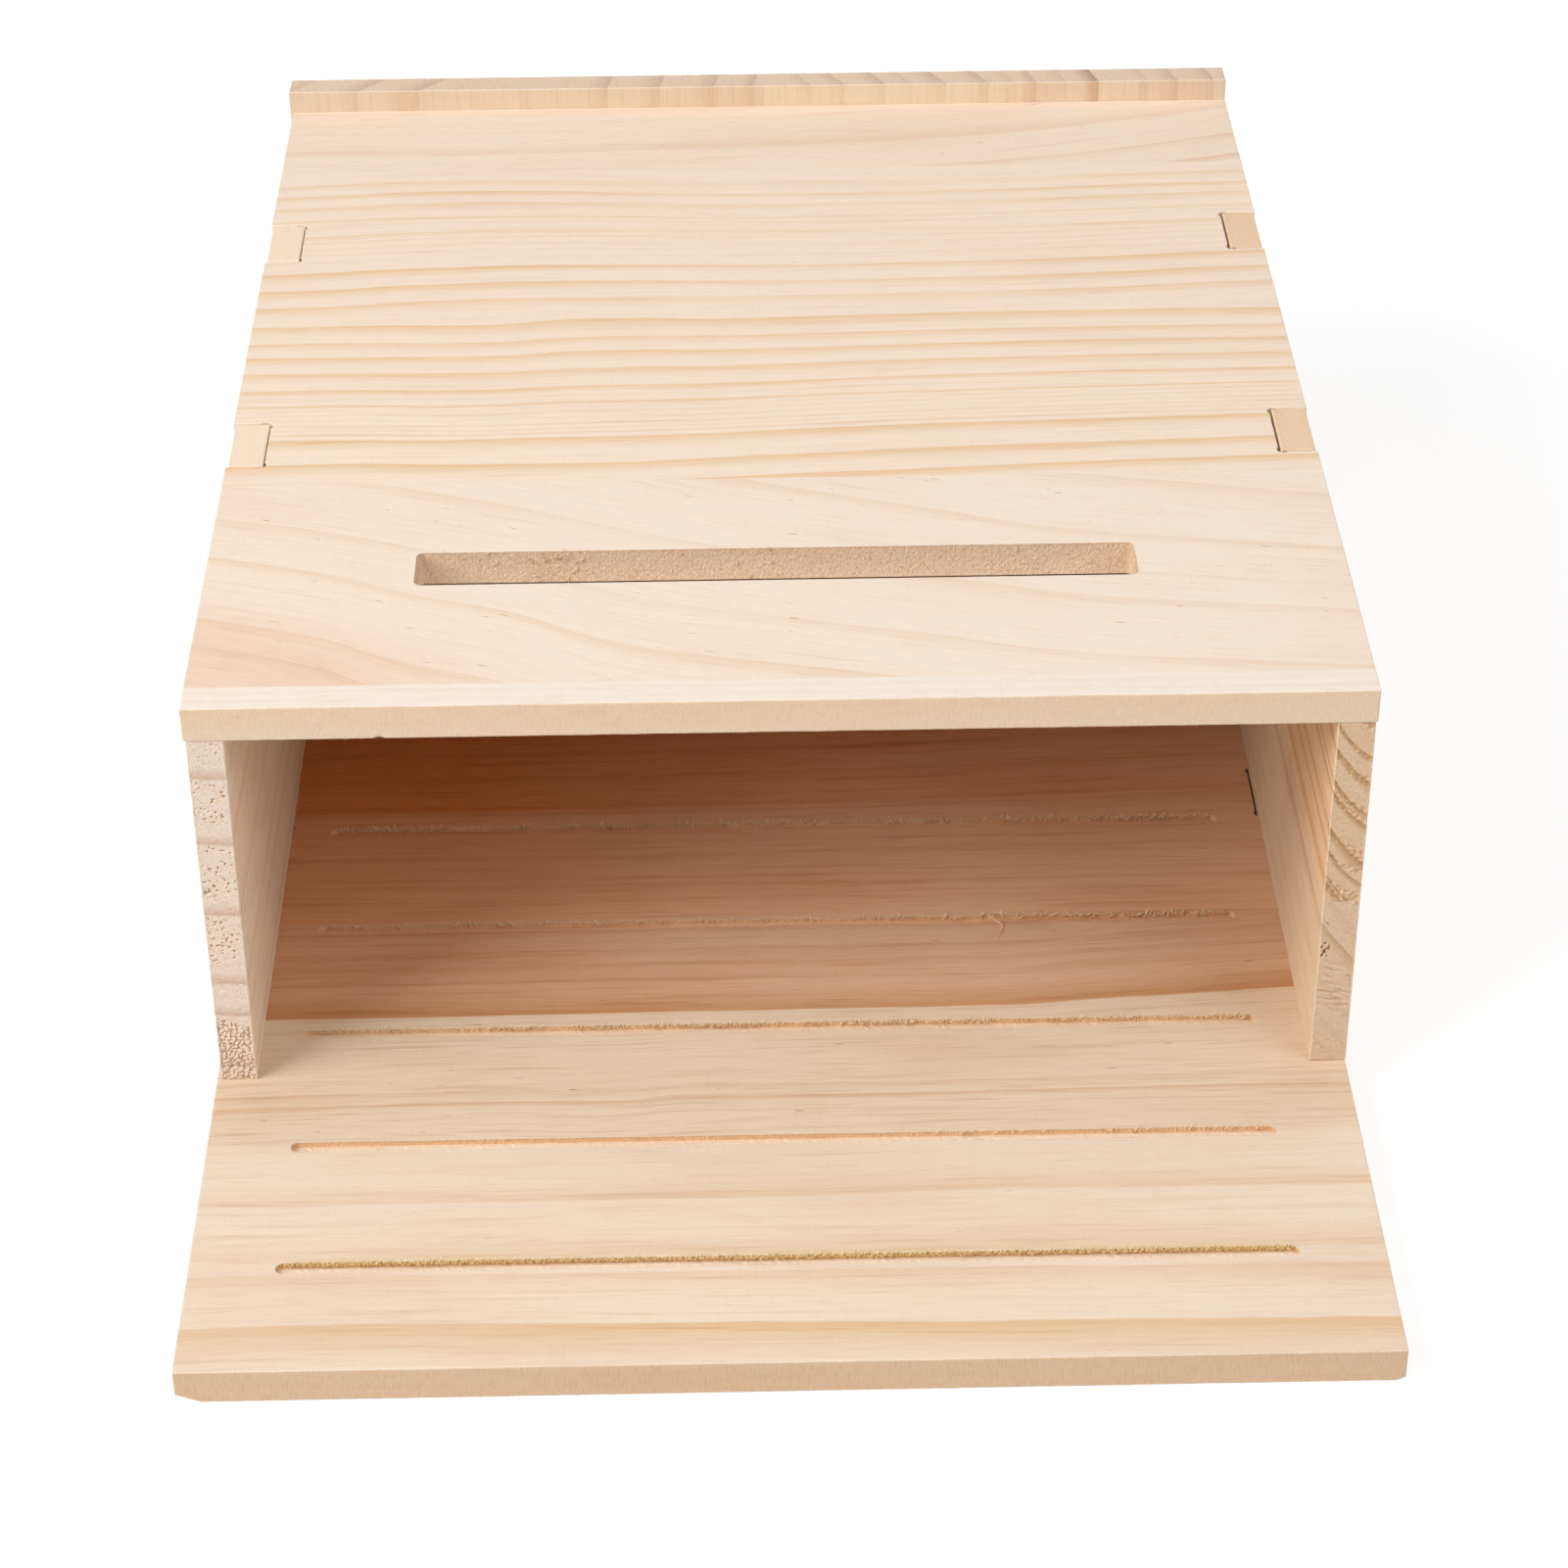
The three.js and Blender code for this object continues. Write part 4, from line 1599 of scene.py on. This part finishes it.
# %% The tree that strews and curls them
fibre_inputs = {
    "Wall": "NodeSocketGeometry", "Crowd": "NodeSocketFloat", "Shortest": "NodeSocketFloat",
    "Longest": "NodeSocketFloat", "Thickness share": "NodeSocketFloat", "Curl share": "NodeSocketFloat",
    "Seed": "NodeSocketInt", "Wood": "NodeSocketMaterial",
}
fibre_steps = 4
fibre_sides = 4
fibre_root, fibre_bend = -0.3, 0.35
fibre_tip_share = 0.5
least_tilt = (-0.4, -0.75, -0.6)
most_tilt = (1.0, 0.75, 0.6)


def fibre_tree():
    """Strews points on walls by their crowd and sets a curled, tapered fibre of unit height on each."""
    tree = bpy.data.node_groups.new("torn_fibres", "GeometryNodeTree")
    for name, kind in fibre_inputs.items():
        tree.interface.new_socket(name, in_out="INPUT", socket_type=kind)
    tree.interface.new_socket("Fibres", in_out="OUTPUT", socket_type="NodeSocketGeometry")
    bench = Bench(tree)
    given = {name: bench.node("NodeGroupInput", {}, {}, name) for name in fibre_inputs}
    crowd = bench.node("GeometryNodeInputNamedAttribute", {"data_type": "FLOAT"}, {"Name": "crowd"})
    strewn = {"Mesh": given["Wall"], "Density": crowd * given["Crowd"], "Seed": given["Seed"]}
    points = bench.node("GeometryNodeDistributePointsOnFaces", {}, strewn, "Points")

    bend = bench.vector(0.0, given["Curl share"] * -1.0, fibre_bend)
    tip = bench.vector(0.0, given["Curl share"] * -fibre_bend, 1.0)
    spine = {"Resolution": fibre_steps, "Start": (0.0, 0.0, fibre_root), "Middle": bend, "End": tip}
    curve = bench.node("GeometryNodeCurveQuadraticBezier", {}, spine)
    circle = {"Resolution": fibre_sides, "Radius": given["Thickness share"]}
    profile = bench.node("GeometryNodeCurvePrimitiveCircle", {}, circle)
    along = bench.node("GeometryNodeSplineParameter", {}, {}, "Factor")
    taper = 1 - (1 - fibre_tip_share) * along
    tube = {"Curve": curve, "Profile Curve": profile, "Scale": taper, "Fill Caps": True}
    fibre = bench.node("GeometryNodeCurveToMesh", {}, tube)

    # A random value has sockets for each kind of number, so they go by number here.
    tilts = {0: least_tilt, 1: most_tilt, 8: given["Seed"]}
    turn = bench.node("FunctionNodeRandomValue", {"data_type": "FLOAT_VECTOR"}, tilts)
    turned = bench.node("FunctionNodeEulerToRotation", {}, {"Euler": turn})
    lengths = {2: given["Shortest"], 3: given["Longest"], 8: given["Seed"] + 1}
    size = bench.node("FunctionNodeRandomValue", {"data_type": "FLOAT"}, lengths, 1)
    placed = {"Points": points, "Instance": fibre, "Rotation": turned, "Scale": size}
    instances = bench.node("GeometryNodeInstanceOnPoints", {}, placed)
    real = bench.node("GeometryNodeRealizeInstances", {}, {"Geometry": instances})
    dressed = bench.node("GeometryNodeSetMaterial", {}, {"Geometry": real, "Material": given["Wood"]})
    bench.node("NodeGroupOutput", {}, {"Fibres": dressed})
    return tree


print("The tree takes", len(fibre_inputs), "inputs")

# %% The wood of a torn fibre
fibre_tone_lengths = (0.0009, 0.0009, 0.0009)
fibre_tone_shares = (0.4, 0.62)
fibre_grain_lengths = (0.002, 0.0002, 0.0002)
fibre_roughness_spread = 0.1


def fibre_wood(name, pale, tan):
    """Raw torn wood: each fibre is paler or browner than the next, with a fine grain."""
    material, bench = new_material(name)
    place = bench.node("ShaderNodeTexCoord", {}, {}, "Object")
    patch = bench.noise(place, fibre_tone_lengths)
    grain = bench.noise(place, fibre_grain_lengths)
    tone = bench.blend(bench.step(patch, *fibre_tone_shares), pale, tan)
    tone = bench.blend(bench.step(grain, *hair_shares, highest=hair_depth), tone, tan_fibre, "MULTIPLY")
    roughness = plain_roughness + fibre_roughness_spread * patch
    inputs = {"Base Color": tone, "Roughness": roughness, "Specular IOR Level": specular}
    surface = bench.node("ShaderNodeBsdfPrincipled", {}, inputs)
    bench.node("ShaderNodeOutputMaterial", {}, {"Surface": surface})
    return material


golden = fibre_wood("golden_fibre", colour(255, 238, 190), colour(255, 224, 164))
tawny = fibre_wood("tawny_fibre", colour(255, 238, 208), colour(250, 220, 176))
amber = fibre_wood("amber_fibre", colour(255, 234, 204), colour(255, 214, 172))
cream = fibre_wood("cream_fibre", colour(254, 232, 206), colour(236, 200, 164))
print("Woods of torn fibre:", [wood.name for wood in (golden, tawny, amber, cream)])

# %% One set of fibres for each kind of wall
fibre_sets = {
    "near_groove_fibres": (groove_walls[:1], "back_panel", {
        "Crowd": 1.1e7, "Shortest": 0.0009, "Longest": 0.0014, "Thickness share": 0.13, "Curl share": 0.5,
        "Seed": 3, "Wood": golden,
    }),
    "landing_groove_fibres": (groove_walls[1:3], "back_panel", {
        "Crowd": 6.0e6, "Shortest": 0.0008, "Longest": 0.0014, "Thickness share": 0.16, "Curl share": 0.45,
        "Seed": 5, "Wood": tawny,
    }),
    "chamber_groove_fibres": (groove_walls[3:], "back_panel", {
        "Crowd": 7.5e6, "Shortest": 0.0008, "Longest": 0.0015, "Thickness share": 0.15, "Curl share": 0.5,
        "Seed": 6, "Wood": amber,
    }),
    "slot_fibres": (slot_walls, "front_panel", {
        "Crowd": 7.0e5, "Shortest": 0.0005, "Longest": 0.001, "Thickness share": 0.22, "Curl share": 0.6,
        "Seed": 8, "Wood": cream,
    }),
}
print("Sets of fibres:", len(fibre_sets))


# %% Grow them
def plain_mesh(thing, wood):
    """What an object looks like after its modifiers, as a plain mesh of one wood."""
    evaluated = thing.evaluated_get(bpy.context.evaluated_depsgraph_get())
    plain = bpy.data.meshes.new_from_object(evaluated)
    plain.materials.clear()
    plain.materials.append(wood)
    for polygon in plain.polygons:
        polygon.material_index = 0
    return plain


tree = fibre_tree()
identifiers = {item.name: item.identifier for item in tree.interface.items_tree if item.in_out == "INPUT"}
for name, (walls, slot_name, sizes) in fibre_sets.items():
    fibres = wall_band(name, walls)
    modifier = fibres.modifiers.new("fibres", "NODES")
    modifier.node_group = tree
    for label, value in sizes.items():
        modifier[identifiers[label]] = value
    plain = plain_mesh(fibres, sizes["Wood"])
    fibres.modifiers.remove(modifier)
    fibres.data = plain
    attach(fibres, "root")
    print(name, len(plain.polygons), "faces")

# %% One long fibre, torn loose from the fourth groove
loose_radius = 0.00014
loose_place = Vector((0.0492, groove_places[3] + cutter_radius, back_high.z))
loose_bends = [
    (0.0066, -0.0002, -0.0002), (0.003, 0.0, 0.0009), (-0.0012, -0.0006, 0.0012),
    (0.0014, -0.003, 0.0008), (0.0042, -0.0048, 0.0001), (0.0012, -0.0092, 0.0002),
]
line = bpy.data.curves.new("loose_line", "CURVE")
line.dimensions = "3D"
line.bevel_depth = loose_radius
line.bevel_resolution = 1
line.use_fill_caps = True
spline = line.splines.new("NURBS")
spline.points.add(len(loose_bends) - 1)
spline.use_endpoint_u = True
for point, bend in zip(spline.points, loose_bends):
    point.co = (loose_place + Vector(bend)).to_4d()
holder = linked("loose_line", line)
loose_fibre = linked("loose_fibre", plain_mesh(holder, amber))
bpy.data.objects.remove(holder)
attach(loose_fibre, "root")
print(loose_fibre.name, len(loose_fibre.data.polygons), "faces")

# %% [markdown]
# ## Camera
#
# The camera stands where the photographer stood: a long lens above the landing end, looking down at 34
# degrees.

# %% Camera
image_side = 1601
focal_length_in_pixels = 4076.8
sensor_width = 36.0
camera_place = Vector((-0.01039, -0.81348, 0.55771))
camera_pitch = math.radians(34.215)
camera_yaw = math.radians(0.927)
camera_roll = math.radians(-0.411)

camera = linked("camera", bpy.data.cameras.new("camera"))
camera.data.sensor_width = sensor_width
camera.data.lens = sensor_width * focal_length_in_pixels / image_side
upright = math.radians(quarter_turn)
heading = Matrix.Rotation(-camera_yaw, 4, "Z") @ Matrix.Rotation(upright - camera_pitch, 4, "X")
camera.matrix_world = Matrix.Translation(camera_place) @ heading @ Matrix.Rotation(camera_roll, 4, "Z")
bpy.context.scene.camera = camera
print("Lens:", round(camera.data.lens, 1), "mm")

# %% [markdown]
# ## Light and floor
#
# Product photographers light pale wood with big soft boxes. The larger one stands far to the left of
# the camera and a weaker one to the right, so both inner walls get light and the inside is darkest at
# its upper left. A third hangs overhead. The floor is plain and pale, and the camera sees it a little
# brighter than it is, as a white sweep looks.

# %% Soft boxes: how far to the right of the camera's side, how high, how strong
box_distance = 2.2
box_size = 1.35
box_angles = {"left_box": (-60, 35, 35.5), "right_box": (50, 40, 13.8)}
top_size = 1.6
top_power = 7.5
top_place = Vector((0.1, 0.3, 1.8))
target = Vector((0, 0, 0.05))


def soft_box(name, place, size, power):
    """A square lamp that faces the middle of the box."""
    lamp = bpy.data.lights.new(name, "AREA")
    lamp.shape = "SQUARE"
    lamp.size = size
    lamp.energy = power
    holder = linked(name, lamp)
    holder.location = place
    holder.rotation_euler = (target - place).to_track_quat("-Z", "Y").to_euler()


for name, (turn, rise, power) in box_angles.items():
    turn, rise = math.radians(turn), math.radians(rise)
    away = Vector((math.sin(turn) * math.cos(rise), -math.cos(turn) * math.cos(rise), math.sin(rise)))
    soft_box(name, target + away * box_distance, box_size, power)
soft_box("top_box", top_place, top_size, top_power)
print("Soft boxes:", len(box_angles) + 1)

# %% White studio
floor_size = 3.0
floor_drop = 0.0002
sky_strength = 0.19
floor_grey = (0.8, 0.8, 0.79, 1.0)
floor_white = (0.61, 0.61, 0.61, 1.0)
floor_lift = 0.61
white = (1.0, 1.0, 1.0, 1.0)


def seen_directly(bench):
    """1 where the camera looks at a surface, also by way of gloss or glass."""
    rays = bench.node("ShaderNodeLightPath", {}, {}, "Is Camera Ray")
    result = rays
    for name in ("Is Glossy Ray", "Is Transmission Ray"):
        result = bench.maths("MAXIMUM", result, bench.node("ShaderNodeLightPath", {}, {}, name))
    return result


floor_mesh = bpy.data.meshes.new("floor")
half = floor_size / 2
floor_corners = [(x * half, y * half, -floor_drop) for x, y in ((-1, -1), (1, -1), (1, 1), (-1, 1))]
floor_mesh.from_pydata(floor_corners, [], [(0, 1, 2, 3)])
floor = linked("floor", floor_mesh)
floor_material, bench = new_material("white_sweep")
unseen = bench.node("ShaderNodeBsdfDiffuse", {}, {"Color": floor_grey})
inputs = {"Base Color": floor_white, "Roughness": 1.0, "Specular IOR Level": 0.0, "Emission Color": white,
          "Emission Strength": floor_lift}
seen = bench.node("ShaderNodeBsdfPrincipled", {}, inputs)
surface = bench.node("ShaderNodeMixShader", {}, {0: seen_directly(bench), 1: unseen, 2: seen})
bench.node("ShaderNodeOutputMaterial", {}, {"Surface": surface})
floor_mesh.materials.append(floor_material)
floor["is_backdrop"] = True

world = bpy.data.worlds.new("studio")
bpy.context.scene.world = world
world.use_nodes = True
bench = Bench(world.node_tree)
lighting = bench.node("ShaderNodeBackground", {}, {"Color": white, "Strength": sky_strength})
backdrop = bench.node("ShaderNodeBackground", {}, {"Color": white, "Strength": 1.0})
surface = bench.node("ShaderNodeMixShader", {}, {0: seen_directly(bench), 1: lighting, 2: backdrop})
bench.node("ShaderNodeOutputWorld", {}, {"Surface": surface})
bpy.context.scene.view_settings.view_transform = "Standard"
print("The floor lies", floor_drop * 1000, "mm below the box")

# %% [markdown]
# ## The size
#
# The dressed boards must stay in the box of the CAD model. The box of what is drawn is written down.

# %% Size
low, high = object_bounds()
print("Visual box in metres:", [round(side, 4) for side in high - low])
